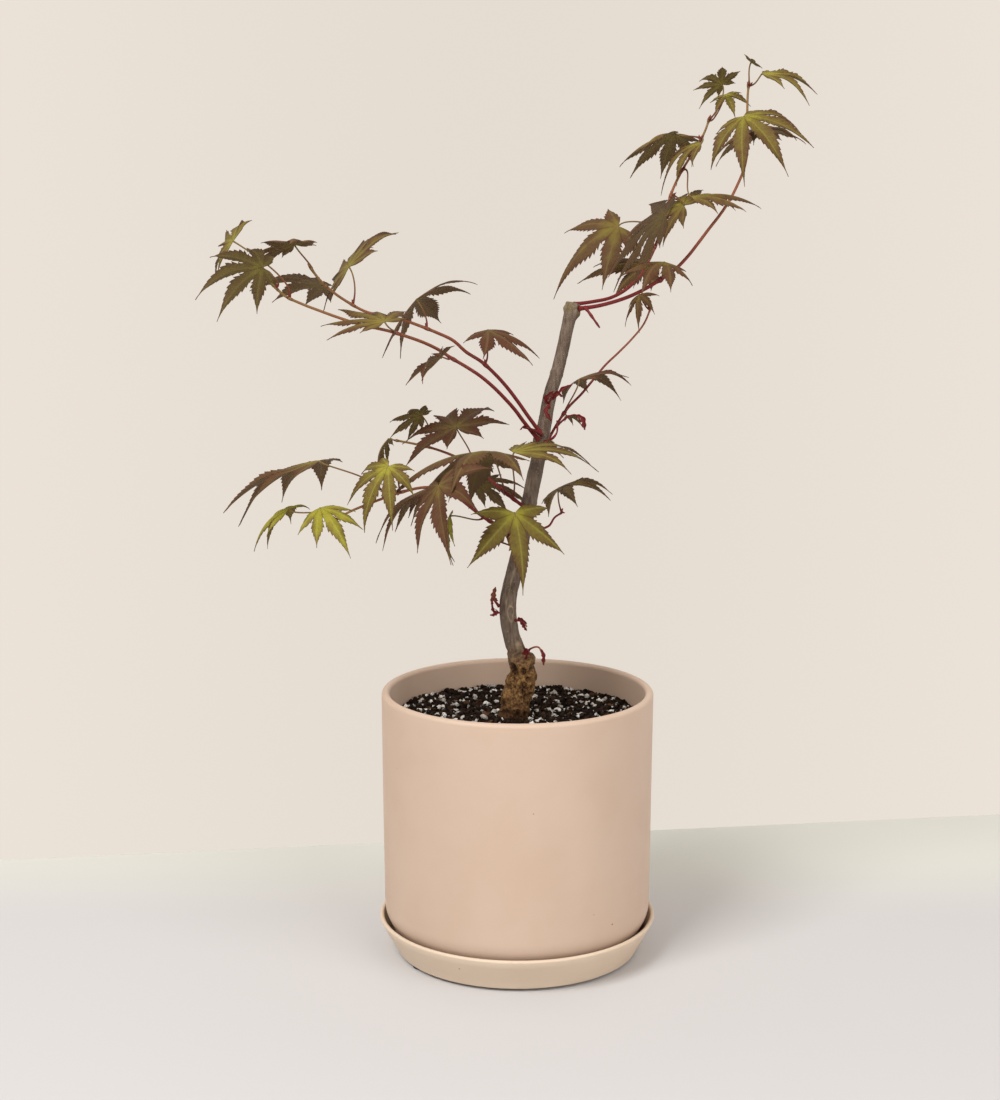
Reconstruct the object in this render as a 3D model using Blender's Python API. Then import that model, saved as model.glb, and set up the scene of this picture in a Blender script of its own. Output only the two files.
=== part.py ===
"""Young Japanese maple bonsai in a plain cylindrical pot, standing in its saucer.

Lengths below are in millimetres and are turned into metres when a mesh is made. +Z is up,
-Y is the front. The origin is on the pot's axis, level with the undersides of the feet.
The tree has a frame of its own: its origin is on the pot's axis at the top of the soil.
"""
import math
from dataclasses import dataclass

import bmesh
import bpy
import numpy as np

MM = 0.001

# Clearance between pieces that touch or are set into each other
GAP = 0.3

# Rubber feet, stuck under the saucer by eye about a third of a turn apart
FOOT_RADIUS = 6.0
FOOT_HEIGHT = 1.4
FOOT_INSET = 1.2
FOOT_CHAMFER = 0.6
FOOT_AZIMUTHS = (-16, -148, 98)

# Pot
POT_RIM_RADIUS = 75.0
POT_WALL_TAPER = 0.8
POT_HEIGHT = 142.0
POT_WALL = 4.5
POT_FLOOR = 6.5
POT_SHOULDER = 22.0
POT_CORNER = 15.0
DRAIN_RADIUS = 6.0

# Saucer, made to fit the pot
SAUCER_RIM_RADIUS = POT_RIM_RADIUS + 2.2
SAUCER_BASE_RADIUS = POT_RIM_RADIUS - 7.0
SAUCER_HEIGHT = 19.3
SAUCER_WALL = 2.5
SAUCER_FLOOR = 5.0
SAUCER_CORNER = 5.0
SAUCER_CHAMFER = 0.8

# Potting soil
SOIL_BELOW_RIM = 15.5
SOIL_LUMP = 0.9
SOIL_MOUND = 2.5
SOIL_MOUND_WIDTH = 26.0
SOIL_RINGS = (0.86, 0.7, 0.54, 0.38, 0.22)

# The tree's height above the soil, and what it was drawn at
TREE_HEIGHT = 226.0
DRAWN_HEIGHT = 226.0
GROWTH = TREE_HEIGHT / DRAWN_HEIGHT

# Trunk: its buried crown, as shares of its depth and radius from the bottom up, then the
# line above the soil as (x, y, z, radius), and the height that the soil's socket reaches
CROWN_DEPTH = 32.0
CROWN_RADIUS = 8.2
CROWN_SHAPE = ((1.0, 0.35), (0.8, 0.75), (0.4, 1.0))
TRUNK_LINE = (
    (-2, -9, 0, 7.4),
    (-1, -9, 12, 7.0),
    (3, -10, 26, 6.5),
    (0, -10, 37, 5.0),
    (-3, -9, 46, 4.6),
    (-5, -9, 57, 4.6),
    (-5, -8, 68, 4.5),
    (-2, -6, 82, 4.3),
    (2, -4, 99, 4.2),
    (7, -1, 124, 4.1),
    (13, 3, 153, 3.8),
    (17, 6, 175, 3.6),
    (23, 9, 196, 3.4),
    (27, 11, 215, 3.4),
    (30, 13, 226, 3.7),
)
SOCKET_TOP = 30.0
# Swellings on it: height, azimuth in degrees, how far each stands out, and its width
KNOBS = (
    (34, -20, 3.6, 5.0),
    (21, 170, 1.5, 6.0),
    (8, -70, 1.3, 7.0),
    (4, 35, 1.6, 7.0),
    (14, -150, 1.2, 6.0),
    (153, 150, 1.2, 5.0),
    (224, -10, 0.9, 4.0),
)

# Shoots: distance between the points of one, and how far its foot is carried on along it
SHOOT_STEP = 9.0
SHOOT_LEAD = 0.2

# Leaf stalks: the share of a stalk's span in which it turns, the most that it runs straight
# into the blade and its slant to it there, and the room that its square foot needs
STALK_WIDTH = 1.1
STALK_EASE = 0.3
STALK_RUN_IN = 6.0
STALK_SLANT_DEG = 45.0
STALK_CORNER = 0.25

# Leaf blades, as shares of the leaf's length: the hub, the whole palm and its heel beside
# the stalk; each lobe's half width is a share of the lobe, and stays clear of the next one
BLADE_THICKNESS = 0.8
HUB_RADIUS = 0.05
PALM_RADIUS = 0.25
HEEL_RADIUS = 0.1125
HEEL_DEG = 26.0
LOBE_HALF_WIDTH = 0.14
LOBE_WIDEST = 0.3
LOBE_CLEARANCE = 0.9
FALL_DEG = 6.0

# Roundness: sides of the turned pieces, of the trunk and of a shoot
TURNED_SIDES = 48
SOIL_SIDES = 36
TRUNK_SIDES = 14
SHOOT_BEVEL = 1


@dataclass
class Shoot:
    """A young shoot: its route from the trunk, and its radius at the foot and the tip."""

    name: str
    route: tuple
    foot_radius: float
    tip_radius: float


@dataclass
class Leaf:
    """A palmate leaf on a stalk.

    at: place along the shoot, from 0 at its foot to 1 at its tip
    stalk: from that place to the base of the blade
    heading, dip, roll: degrees; where the middle lobe points, how far it points
    below level, and how far the blade is rolled about it
    length: of the middle lobe; droop: degrees that it bends down towards its tip
    lobes: how many it has; spread: degrees between one lobe and the next
    """

    at: float
    stalk: tuple
    heading: float
    dip: float
    roll: float
    length: float
    droop: float
    lobes: int
    spread: float


SHOOTS = (
    Shoot("shoot_left_high", (
        (11, 0, 159), (-5, -6, 182), (-18, -12, 196), (-28, -16, 203), (-36, -20, 210),
        (-59, -30, 220), (-76, -36, 224), (-86, -40, 229), (-99, -46, 239), (-107, -50, 250),
    ), 1.25, 0.75),
    Shoot("shoot_left_low", (
        (8, -4, 157), (-2, -12, 172), (-18, -22, 189), (-37, -32, 202), (-46, -38, 208),
        (-64, -46, 215), (-79, -52, 219), (-91, -56, 223), (-115, -63, 233), (-124, -66, 241),
    ), 1.25, 0.75),
    Shoot("shoot_mid_left", (
        (3, -7, 119), (-7, -4, 126), (-21, 8, 136), (-33, 18, 142), (-50, 26, 147), (-69, 32, 150),
    ), 1.1, 0.7),
    Shoot("shoot_low_left", (
        (2, -14, 104), (-8, -18, 109), (-18, -22, 115), (-35, -28, 129), (-46, -32, 133),
        (-62, -38, 131), (-74, -42, 127), (-86, -46, 123), (-97, -50, 117),
    ), 1.2, 0.7),
    Shoot("shoot_right", (
        (17, 6, 154), (26, 14, 168), (38, 20, 180), (46, 24, 190), (59, 30, 202),
        (69, 33, 213), (74, 35, 224),
    ), 0.9, 0.6),
    Shoot("shoot_top_main", (
        (34, 10, 224), (47, 14, 226), (63, 19, 231), (78, 24, 239), (90, 28, 248),
        (104, 34, 265), (116, 38, 281), (125, 42, 301), (126, 45, 317), (126, 48, 334),
        (127, 50, 347),
    ), 1.3, 0.7),
    Shoot("shoot_top_second", (
        (32, 18, 226), (51, 26, 229), (64, 32, 237), (73, 38, 250), (80, 44, 267),
        (85, 48, 285), (92, 52, 299), (102, 55, 315), (107, 57, 328),
    ), 1.2, 0.7),
    Shoot("twig_right", ((7, 6, 103), (17, 10, 105), (21, 13, 110), (25, 15, 112)), 0.9, 0.6),
    Shoot("twig_front", ((0, -16, 94), (-4, -24, 100), (-6, -32, 107)), 0.9, 0.6),
    Shoot("sprout_low_left", ((-11, -9, 65), (-13, -10, 69), (-12, -10, 75)), 0.8, 0.5),
    Shoot("sprout_low_right", ((0, -13, 57), (3, -15, 57), (5, -16, 54)), 0.7, 0.5),
    Shoot("sprout_foot", (
        (6, -18, 41), (9, -20, 44), (12, -20, 43), (14, -20, 37),
    ), 0.7, 0.5),
)

LEAVES = {
    "shoot_left_high": (
        Leaf(0.30, (2, 3, 18), -44, 12, 4, 35, 10, 5, 44),
        Leaf(0.54, (-5, 2, 15), 88, 2, -42, 46, 25, 7, 44),
        Leaf(0.80, (-2, 6, 19), 94, -28, -50, 48, 20, 7, 33),
        Leaf(0.91, (-2, 16, -1), 178, -16, 20, 41, 15, 5, 35),
        Leaf(0.98, (-8, -3, 12), -124, -20, 18, 30, 20, 7, 36),
    ),
    "shoot_left_low": (
        Leaf(0.40, (-4, -8, 0), -126, -4, 42, 30, 20, 5, 33),
        Leaf(0.60, (-3, -24, 7), 134, -18, -12, 40, 10, 7, 29),
        Leaf(0.93, (-28, 4, 28), 118, -6, -56, 33, 15, 5, 36),
        Leaf(0.98, (-6, -4, 10), -178, -4, 44, 37, 30, 7, 40),
    ),
    "shoot_mid_left": (
        Leaf(0.09, (1, -28, 28), 28, -22, 6, 58, 45, 5, 26),
        Leaf(0.14, (-8, -29, 26), -162, -8, 16, 63, 40, 5, 47),
        Leaf(0.37, (-1, 5, -8), 28, -2, -46, 33, 30, 5, 32),
        Leaf(0.45, (-8, 7, 20), 110, -22, -20, 46, 20, 5, 47),
        Leaf(0.77, (-4, 14, 16), -160, -14, 48, 23, 30, 7, 38),
        Leaf(0.98, (-5, 8, 0), 144, 34, -18, 23, 55, 5, 28),
    ),
    "shoot_low_left": (
        Leaf(0.21, (-18, 4, 0), 146, 48, -42, 29, 55, 5, 35),
        Leaf(0.51, (5, -32, 6), -92, 30, 42, 42, 15, 5, 45),
        Leaf(0.51, (4, 12, 0), 168, 10, 0, 53, 45, 5, 31),
        Leaf(0.66, (-5, -14, 16), -138, 36, -14, 34, 40, 7, 39),
        Leaf(0.73, (-34, -5, 20), 152, 6, -4, 64, 25, 7, 29),
        Leaf(0.98, (-7, -9, 8), -58, 12, 16, 32, 35, 5, 36),
        Leaf(0.98, (-24, -1, 6), 136, -2, -22, 34, 65, 5, 38),
    ),
    "shoot_right": (
        Leaf(0.19, (7, -12, 19), 60, -18, -22, 37, 40, 7, 34),
        Leaf(0.19, (1, 8, -3), 32, 4, -18, 11, 30, 5, 33),
        Leaf(0.98, (-6, 2, 8), -114, 28, 24, 21, 55, 5, 45),
    ),
    "shoot_top_main": (
        Leaf(0.28, (-1, -28, 10), -120, -4, -8, 32, 30, 5, 39),
        Leaf(0.28, (-2, 33, 6), -162, -16, -22, 47, 35, 5, 39),
        Leaf(0.83, (-3, -6, 9), -66, 14, 24, 45, 45, 7, 37),
        Leaf(0.83, (10, 22, 2), -106, -20, 10, 40, 40, 5, 44),
        Leaf(0.98, (7, -1, 6), 0, -8, 18, 34, 30, 5, 28),
        Leaf(0.98, (1, -1, 12), -78, -18, -38, 13, 15, 3, 41),
    ),
    "shoot_top_second": (
        Leaf(0.44, (3, -23, 17), -152, 22, 44, 58, 15, 7, 29),
        Leaf(0.52, (-24, 4, 0), -164, 18, -36, 47, 30, 5, 50),
        Leaf(0.65, (7, -3, -6), 134, -10, -44, 34, 40, 5, 40),
        Leaf(0.76, (2, -32, -15), 8, -18, 8, 40, 30, 5, 34),
        Leaf(0.90, (-14, 7, 3), 142, 14, 10, 42, 40, 7, 40),
        Leaf(0.90, (-1, -10, -3), -178, 8, -18, 33, 70, 5, 29),
        Leaf(0.98, (7, 2, 19), -146, -28, 38, 21, 15, 5, 41),
        Leaf(0.98, (10, 9, 14), -76, 26, 20, 18, 15, 5, 45),
    ),
    "twig_right": (
        Leaf(0.98, (-2, -1, 14), 40, -16, -26, 37, 35, 7, 41),
    ),
    "twig_front": (
        Leaf(0.98, (4, -10, 14), -66, 54, -2, 45, 20, 5, 56),
    ),
}

# The lobes on one side of the middle one, from the top down: share of the leaf's length
SIDE_LOBES = {7: (0.92, 0.74, 0.40), 5: (0.86, 0.56), 3: (0.75,)}

# Heights worked out from the sizes above
SAUCER_BOTTOM = FOOT_HEIGHT + GAP
POT_BOTTOM = SAUCER_BOTTOM + SAUCER_FLOOR + GAP
SOIL_TOP = POT_BOTTOM + POT_HEIGHT - SOIL_BELOW_RIM


# ---- Materials and meshes ----

def material(name, colour, roughness, metallic=0.0):
    """Make a Principled material of one colour."""
    made = bpy.data.materials.new(name)
    made.use_nodes = True
    shader = made.node_tree.nodes["Principled BSDF"]
    shader.inputs["Base Color"].default_value = (*colour, 1.0)
    shader.inputs["Roughness"].default_value = roughness
    shader.inputs["Metallic"].default_value = metallic
    return made


def add_object(name, mesh, finish):
    """Link a mesh to the scene under a name, with one material."""
    made = bpy.data.objects.new(name, mesh)
    made.data.materials.append(finish)
    bpy.context.scene.collection.objects.link(made)
    return made


def add_bmesh(name, bm, finish, sharp_deg=35):
    """Write a bmesh in millimetres to a new object, with its faces turned outwards."""
    bmesh.ops.recalc_face_normals(bm, faces=bm.faces)
    bmesh.ops.scale(bm, vec=(MM, MM, MM), verts=bm.verts)
    mesh = bpy.data.meshes.new(name)
    bm.to_mesh(mesh)
    bm.free()
    mesh.shade_smooth()
    mesh.set_sharp_from_angle(angle=math.radians(sharp_deg))
    return add_object(name, mesh, finish)


# ---- Curves ----

def unit(vector):
    """A vector's direction."""
    return vector / np.linalg.norm(vector)


def smooth_line(points, steps):
    """A Catmull-Rom curve through rows of numbers, with so many steps between two rows."""
    rows = np.asarray(points, float)
    rows = np.vstack([2 * rows[0] - rows[1], rows, 2 * rows[-1] - rows[-2]])
    before, start, end, after = rows[:-3], rows[1:-2], rows[2:-1], rows[3:]
    t = (np.arange(steps) / steps)[:, None]
    curve = [
        0.5 * (2 * b + (c - a) * t + (2 * a - 5 * b + 4 * c - d) * t**2
               + (3 * b - a - 3 * c + d) * t**3)
        for a, b, c, d in zip(before, start, end, after)
    ]
    return np.vstack(curve + [rows[-2][None, :]])


def resample(line, count):
    """The same curve with its points spread evenly along it."""
    spans = np.linalg.norm(np.diff(line, axis=0), axis=1)
    along = np.concatenate([[0.0], np.cumsum(spans)])
    wanted = np.linspace(0.0, along[-1], count)
    return np.column_stack([np.interp(wanted, along, column) for column in line.T])


def arc(centre_r, centre_z, radius, start_deg, end_deg, steps):
    """Points (r, z) on an arc, both ends included."""
    turns = np.radians(np.linspace(start_deg, end_deg, steps + 1))
    return [(centre_r + radius * math.cos(a), centre_z + radius * math.sin(a)) for a in turns]


def turned(profile, sides, closed):
    """Spin a profile of (r, z) points round the Z axis.

    A closed profile makes a ring with a hole; an open one starts and ends on the axis.
    """
    bm = bmesh.new()
    points = [bm.verts.new((r, 0.0, z)) for r, z in profile]
    edges = [bm.edges.new(pair) for pair in zip(points, points[1:])]
    if closed:
        edges.append(bm.edges.new((points[-1], points[0])))
    bmesh.ops.spin(bm, geom=points + edges, cent=(0, 0, 0), axis=(0, 0, 1), dvec=(0, 0, 0),
                   angle=math.tau, steps=sides, use_merge=True, use_duplicate=False)
    bmesh.ops.remove_doubles(bm, verts=bm.verts, dist=0.001)
    return bm


# ---- Feet, saucer, pot ----

def make_feet():
    """Three flat rubber discs under the edge of the saucer."""
    rubber = material("rubber", (0.02, 0.02, 0.022), 0.7)
    reach = SAUCER_BASE_RADIUS - FOOT_INSET - FOOT_RADIUS
    for number, azimuth in enumerate(FOOT_AZIMUTHS, 1):
        turn = math.radians(azimuth)
        bm = bmesh.new()
        bmesh.ops.create_cone(bm, cap_ends=True, segments=20, radius1=FOOT_RADIUS,
                              radius2=FOOT_RADIUS - FOOT_CHAMFER, depth=FOOT_HEIGHT)
        centre = (reach * math.cos(turn), reach * math.sin(turn), FOOT_HEIGHT / 2)
        bmesh.ops.translate(bm, vec=centre, verts=bm.verts)
        add_bmesh(f"saucer_foot_{number}", bm, rubber)


def saucer_profile():
    """Open profile of the saucer: underside, sloping wall, round lip, inner wall, floor."""
    bottom = SAUCER_BOTTOM
    top = bottom + SAUCER_HEIGHT
    lip = SAUCER_WALL / 2
    slope = (SAUCER_RIM_RADIUS - SAUCER_BASE_RADIUS) / SAUCER_HEIGHT
    floor = bottom + SAUCER_FLOOR
    inner_foot = SAUCER_BASE_RADIUS - SAUCER_WALL + slope * (SAUCER_FLOOR + SAUCER_CORNER)
    corner = arc(inner_foot - SAUCER_CORNER, floor + SAUCER_CORNER, SAUCER_CORNER, 0, -90, 4)
    return (
        [
            (0, bottom),
            (SAUCER_BASE_RADIUS - SAUCER_CHAMFER, bottom),
            (SAUCER_BASE_RADIUS, bottom + SAUCER_CHAMFER),
        ]
        + arc(SAUCER_RIM_RADIUS - lip, top - lip, lip, 0, 180, 6)
        + corner
        + [(0, floor)]
    )


def pot_inner_radius(height):
    """Inner radius of the pot's wall at a height, above its rounded inner corner."""
    share = (POT_BOTTOM + POT_HEIGHT - height) / POT_HEIGHT
    return POT_RIM_RADIUS - POT_WALL - POT_WALL_TAPER * share


def pot_inner_corner(gap):
    """The rounded corner inside the pot, from its wall down to its floor, less a gap."""
    floor = POT_BOTTOM + POT_FLOOR
    centre_z = floor + POT_CORNER
    centre_r = pot_inner_radius(centre_z) - POT_CORNER
    return arc(centre_r, centre_z, POT_CORNER - gap, 0, -90, 5)


def pot_profile():
    """Closed profile of the pot's wall: base, round shoulder, wall, lip, inside, drain."""
    top = POT_BOTTOM + POT_HEIGHT
    lip = POT_WALL / 2
    foot_radius = POT_RIM_RADIUS - POT_WALL_TAPER
    shoulder = arc(foot_radius - POT_SHOULDER, POT_BOTTOM + POT_SHOULDER, POT_SHOULDER, -90, 0, 7)
    return (
        [(DRAIN_RADIUS, POT_BOTTOM)]
        + shoulder
        + arc(POT_RIM_RADIUS - lip, top - lip, lip, 0, 180, 6)
        + pot_inner_corner(0.0)
        + [(DRAIN_RADIUS, POT_BOTTOM + POT_FLOOR)]
    )


def make_ceramics():
    """The saucer and the pot, turned in the same blush stoneware."""
    blush = material("blush_ceramic", (0.66, 0.47, 0.36), 0.45)
    add_bmesh("saucer", turned(saucer_profile(), TURNED_SIDES, False), blush)
    add_bmesh("pot", turned(pot_profile(), TURNED_SIDES, True), blush)


# ---- Trunk and soil ----

def trunk_line():
    """The trunk's centre line and radius in the tree's frame, buried crown included."""
    grown = [(x * GROWTH, y * GROWTH, z * GROWTH, r) for x, y, z, r in TRUNK_LINE]
    foot_x, foot_y = grown[0][:2]
    crown = [
        (foot_x, foot_y, -depth * CROWN_DEPTH, share * CROWN_RADIUS)
        for depth, share in CROWN_SHAPE
    ]
    return smooth_line(crown + grown, 3)


def trunk_rings(swell):
    """Rings of points round the trunk, in the tree's frame, swollen by so much all over."""
    line = trunk_line()
    centres, radii = line[:, :3], line[:, 3]
    tangents = np.gradient(centres, axis=0)
    tangents /= np.linalg.norm(tangents, axis=1)[:, None]
    across = np.cross(tangents, (0.0, 1.0, 0.0))
    across /= np.linalg.norm(across, axis=1)[:, None]
    deep = np.cross(tangents, across)
    turns = np.linspace(0.0, math.tau, TRUNK_SIDES, endpoint=False)
    outwards = (np.cos(turns)[None, :, None] * -across[:, None, :]
                + np.sin(turns)[None, :, None] * deep[:, None, :])
    azimuths = np.arctan2(outwards[..., 1], outwards[..., 0])
    reach = np.repeat(radii[:, None], TRUNK_SIDES, axis=1)
    for height, azimuth, stands_out, width in KNOBS:
        turn = np.angle(np.exp(1j * (azimuths - math.radians(azimuth))))
        offset = (centres[:, 2] - height * GROWTH)[:, None]
        apart = np.hypot(offset, turn * radii[:, None])
        reach = reach + stands_out * np.exp(-(apart / width) ** 2 * 2.0)
    rings = centres[:, None, :] + outwards * (reach + swell)[..., None]
    rings[0, :, 2] -= swell
    return rings


def lofted(rings):
    """A closed skin over rings of points, with a flat cap at each end."""
    bm = bmesh.new()
    rows = [[bm.verts.new(point) for point in ring] for ring in rings]
    for lower, upper in zip(rows, rows[1:]):
        for i, corner in enumerate(lower):
            after = (i + 1) % len(lower)
            bm.faces.new((corner, lower[after], upper[after], upper[i]))
    bm.faces.new(rows[0][::-1])
    bm.faces.new(rows[-1])
    return bm


def lift_tree(bm):
    """Move a mesh from the tree's frame to the part's."""
    bmesh.ops.translate(bm, vec=(0, 0, SOIL_TOP), verts=bm.verts)
    return bm


def make_trunk():
    """The trunk with its knobbly foot, in one piece from buried crown to pruned top."""
    bark = material("bark", (0.13, 0.085, 0.06), 0.85)
    add_bmesh("trunk", lift_tree(lofted(trunk_rings(0.0))), bark, sharp_deg=60)


def soil_height(x, y):
    """Height of the soil's surface over SOIL_TOP: a low mound at the trunk and lumps."""
    foot_x, foot_y = TRUNK_LINE[0][0] * GROWTH, TRUNK_LINE[0][1] * GROWTH
    apart = np.hypot(x - foot_x, y - foot_y)
    mound = SOIL_MOUND * np.exp(-(apart / SOIL_MOUND_WIDTH) ** 2)
    lumps = np.sin(0.21 * x + 0.4) * np.cos(0.17 * y) + 0.6 * np.sin(0.33 * y - 0.25 * x)
    return mound + SOIL_LUMP * lumps / 1.6


def make_soil():
    """The block of potting soil, with a socket where the trunk's crown is set in it."""
    loam = material("loam", (0.035, 0.024, 0.018), 0.95)
    floor = POT_BOTTOM + POT_FLOOR + GAP
    edge = pot_inner_radius(SOIL_TOP) - GAP
    profile = (
        [(0, floor)]
        + pot_inner_corner(GAP)[::-1]
        + [(edge, SOIL_TOP)]
        + [(edge * share, SOIL_TOP) for share in SOIL_RINGS]
        + [(0, SOIL_TOP)]
    )
    bm = turned(profile, SOIL_SIDES, False)
    for vert in bm.verts:
        if vert.co.z > SOIL_TOP - 0.01:
            vert.co.z += float(soil_height(vert.co.x, vert.co.y))
    soil = add_bmesh("soil", bm, loam)
    rings = trunk_rings(GAP)
    socket = rings[rings[:, :, 2].mean(axis=1) < SOCKET_TOP * GROWTH]
    cutter = add_bmesh("trunk_socket", lift_tree(lofted(socket)), loam)
    cutter.hide_render = True
    cutter.display_type = "WIRE"
    cut = soil.modifiers.new("socket", "BOOLEAN")
    cut.operation = "DIFFERENCE"
    cut.object = cutter
    return soil


# ---- Shoots ----

def shoot_line(shoot):
    """A shoot's smooth centre line in the tree's frame."""
    route = np.asarray(shoot.route, float) * GROWTH
    length = np.linalg.norm(np.diff(route, axis=0), axis=1).sum()
    count = max(5, int(length / SHOOT_STEP))
    line = resample(smooth_line(route, 6), count)
    return clear_of_trunk(line, shoot.foot_radius)


def clear_of_trunk(line, radius):
    """Start a line at the trunk's skin, clear of it by a gap and the line's own radius."""
    trunk = trunk_line()
    nearest = trunk[int(np.linalg.norm(trunk[:, :3] - line[0], axis=1).argmin())]
    outwards = unit(line[0] - nearest[:3])
    start = nearest[:3] + outwards * (nearest[3] + GAP + radius)
    joined = line.copy()
    joined[0] = start + SHOOT_LEAD * unit(line[1] - line[0])
    return joined


def make_shoot(shoot, finish):
    """A tapering round shoot, made as a bevelled curve with filled ends."""
    line = shoot_line(shoot)
    curve = bpy.data.curves.new(shoot.name, "CURVE")
    curve.dimensions = "3D"
    curve.bevel_depth = 1.0 * MM
    curve.bevel_resolution = SHOOT_BEVEL
    curve.use_fill_caps = True
    spline = curve.splines.new("POLY")
    spline.points.add(len(line) - 1)
    radii = np.linspace(shoot.foot_radius, shoot.tip_radius, len(line))
    for point, place, radius in zip(spline.points, line, radii):
        x, y, z = place * MM
        point.co = (x, y, z + SOIL_TOP * MM, 1.0)
        point.radius = radius
    return add_object(shoot.name, curve, finish)


# ---- Leaves ----

def leaf_frame(leaf):
    """Directions of a blade: along its middle lobe, to its left, and out of its face."""
    heading, dip, roll = (math.radians(a) for a in (leaf.heading, leaf.dip, leaf.roll))
    along = np.array([math.cos(heading) * math.cos(dip), math.sin(heading) * math.cos(dip),
                      -math.sin(dip)])
    level = np.array([-math.sin(heading), math.cos(heading), 0.0])
    face = np.cross(along, level)
    left = level * math.cos(roll) + face * math.sin(roll)
    return along, left, face * math.cos(roll) - level * math.sin(roll)


def bent(leaf, base, radius, angle):
    """Place flat polar points of a blade on its drooping surface.

    The blade falls away at FALL_DEG from its base, and along every radius it bends down
    further by the leaf's droop over its length, as an arc does.
    """
    along, left, face = leaf_frame(leaf)
    fall = math.radians(FALL_DEG)
    bend = math.radians(leaf.droop) / (leaf.length * GROWTH)
    reach = (np.sin(fall + bend * radius) - math.sin(fall)) / bend
    rise = (np.cos(fall + bend * radius) - math.cos(fall)) / bend
    flat = np.cos(angle)[:, None] * along + np.sin(angle)[:, None] * left
    return base + reach[:, None] * flat + rise[:, None] * face


def blade_outline(leaf):
    """Flat polar points of a blade and the triangles over them.

    The points are the hub, the two sides of the stalk, one notch on each side of every
    lobe, and for each lobe its two widest points, its tip and a point on its midrib.
    """
    length = leaf.length * GROWTH
    side = list(enumerate(SIDE_LOBES[leaf.lobes], 1))
    steps = [(n, share) for n, share in side[::-1]] + [(0, 1.0)] + [(-n, share) for n, share in side]
    lobes = [(math.radians(n * leaf.spread), length * share) for n, share in steps]
    half = STALK_WIDTH / 2
    points = [(HUB_RADIUS * length, 0.0), (half, math.pi / 2), (half, -math.pi / 2)]
    outer = math.radians(HEEL_DEG)
    angles = [a for a, _ in lobes]
    between = [(a + b) / 2 for a, b in zip(angles, angles[1:])]
    notch_angles = [angles[0] + outer] + between + [angles[-1] - outer]
    first = len(points)
    for number, angle in enumerate(notch_angles):
        palm = HEEL_RADIUS if number in (0, len(lobes)) else PALM_RADIUS
        points.append((palm * length, angle))
    faces = [(0, 1, first), (0, first + len(lobes), 2), (0, 2, 1)]
    half_spread = math.radians(leaf.spread) / 2
    root = PALM_RADIUS * length * math.cos(half_spread)
    for number, (angle, reach) in enumerate(lobes):
        left_notch, right_notch = first + number, first + number + 1
        middle = root + LOBE_WIDEST * (reach - root)
        side = min(LOBE_HALF_WIDTH * reach, LOBE_CLEARANCE * middle * math.tan(half_spread))
        spread = math.atan2(side, middle)
        wide = math.hypot(side, middle)
        at = len(points)
        points += [(wide, angle + spread), (reach, angle), (wide, angle - spread), (middle, angle)]
        faces += [
            (0, left_notch, right_notch),
            (left_notch, at, at + 3),
            (left_notch, at + 3, right_notch),
            (right_notch, at + 3, at + 2),
            (at, at + 1, at + 3),
            (at + 1, at + 2, at + 3),
        ]
    return np.array(points), faces


def stalk_line(leaf, line, radii):
    """A leaf stalk's curve, from the shoot's skin to the base of the blade.

    It leaves the shoot square to it and slants into the blade from the side it comes from,
    clear of the lobes beside its base.
    """
    place = leaf.at * (len(line) - 1)
    before = min(int(place), len(line) - 2)
    centre = line[before] + (line[before + 1] - line[before]) * (place - before)
    radius = np.interp(place, np.arange(len(line)), radii)
    tangent = unit(line[before + 1] - line[before])
    stalk = np.array(leaf.stalk, float) * GROWTH
    base = centre + stalk
    square = stalk - tangent * (stalk @ tangent)
    start = centre + unit(square) * (radius + GAP + STALK_CORNER)
    span = np.linalg.norm(base - start)
    along, _, face = leaf_frame(leaf)
    slant = math.copysign(math.radians(STALK_SLANT_DEG), float((start - base) @ face))
    inwards = math.cos(slant) * along - math.sin(slant) * face
    first = start + unit(square + STALK_EASE * unit(stalk)) * STALK_EASE * span
    last = base - inwards * min(STALK_EASE * span, STALK_RUN_IN)
    t = np.linspace(0.0, 1.0, max(4, min(8, int(span / 4) + 2)))[:, None]
    return (start * (1 - t)**3 + first * 3 * t * (1 - t)**2 + last * 3 * t**2 * (1 - t)
            + base * t**3)


def make_leaf(name, leaf, line, radii, finish):
    """One leaf: a lobed blade and a square stalk, in one closed solid."""
    stalk = stalk_line(leaf, line, radii)
    points, faces = blade_outline(leaf)
    middle = bent(leaf, stalk[-1], points[:, 0], points[:, 1])
    _, left, face = leaf_frame(leaf)
    half = BLADE_THICKNESS / 2
    bm = bmesh.new()
    upper = [bm.verts.new(place) for place in middle + half * face]
    lower = [bm.verts.new(place) for place in middle - half * face]
    for a, b, c in faces:
        bm.faces.new((upper[a], upper[c], upper[b]))
        bm.faces.new((lower[a], lower[b], lower[c]))
    under = dict(zip(upper, lower))
    ring = [upper[1], upper[2], lower[2], lower[1]]
    rim = [edge.verts for edge in bm.edges if len(edge.link_faces) == 1]
    for a, b in rim:
        if a in under and b in under and {a, b} != set(ring[:2]):
            bm.faces.new((a, b, under[b], under[a]))
    side = left
    for place, after in zip(stalk[-2::-1], stalk[:0:-1]):
        tangent = unit(after - place)
        side = unit(side - tangent * (side @ tangent))
        rise = np.cross(tangent, side)
        corners = ((1, 1), (-1, 1), (-1, -1), (1, -1))
        fresh = [bm.verts.new(place + s * STALK_WIDTH / 2 * side + u * half * rise)
                 for s, u in corners]
        for i in range(4):
            j = (i + 1) % 4
            bm.faces.new((ring[i], ring[j], fresh[j], fresh[i]))
        ring = fresh
    bm.faces.new(ring)
    return add_bmesh(name, lift_tree(bm), finish, sharp_deg=50)


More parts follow.
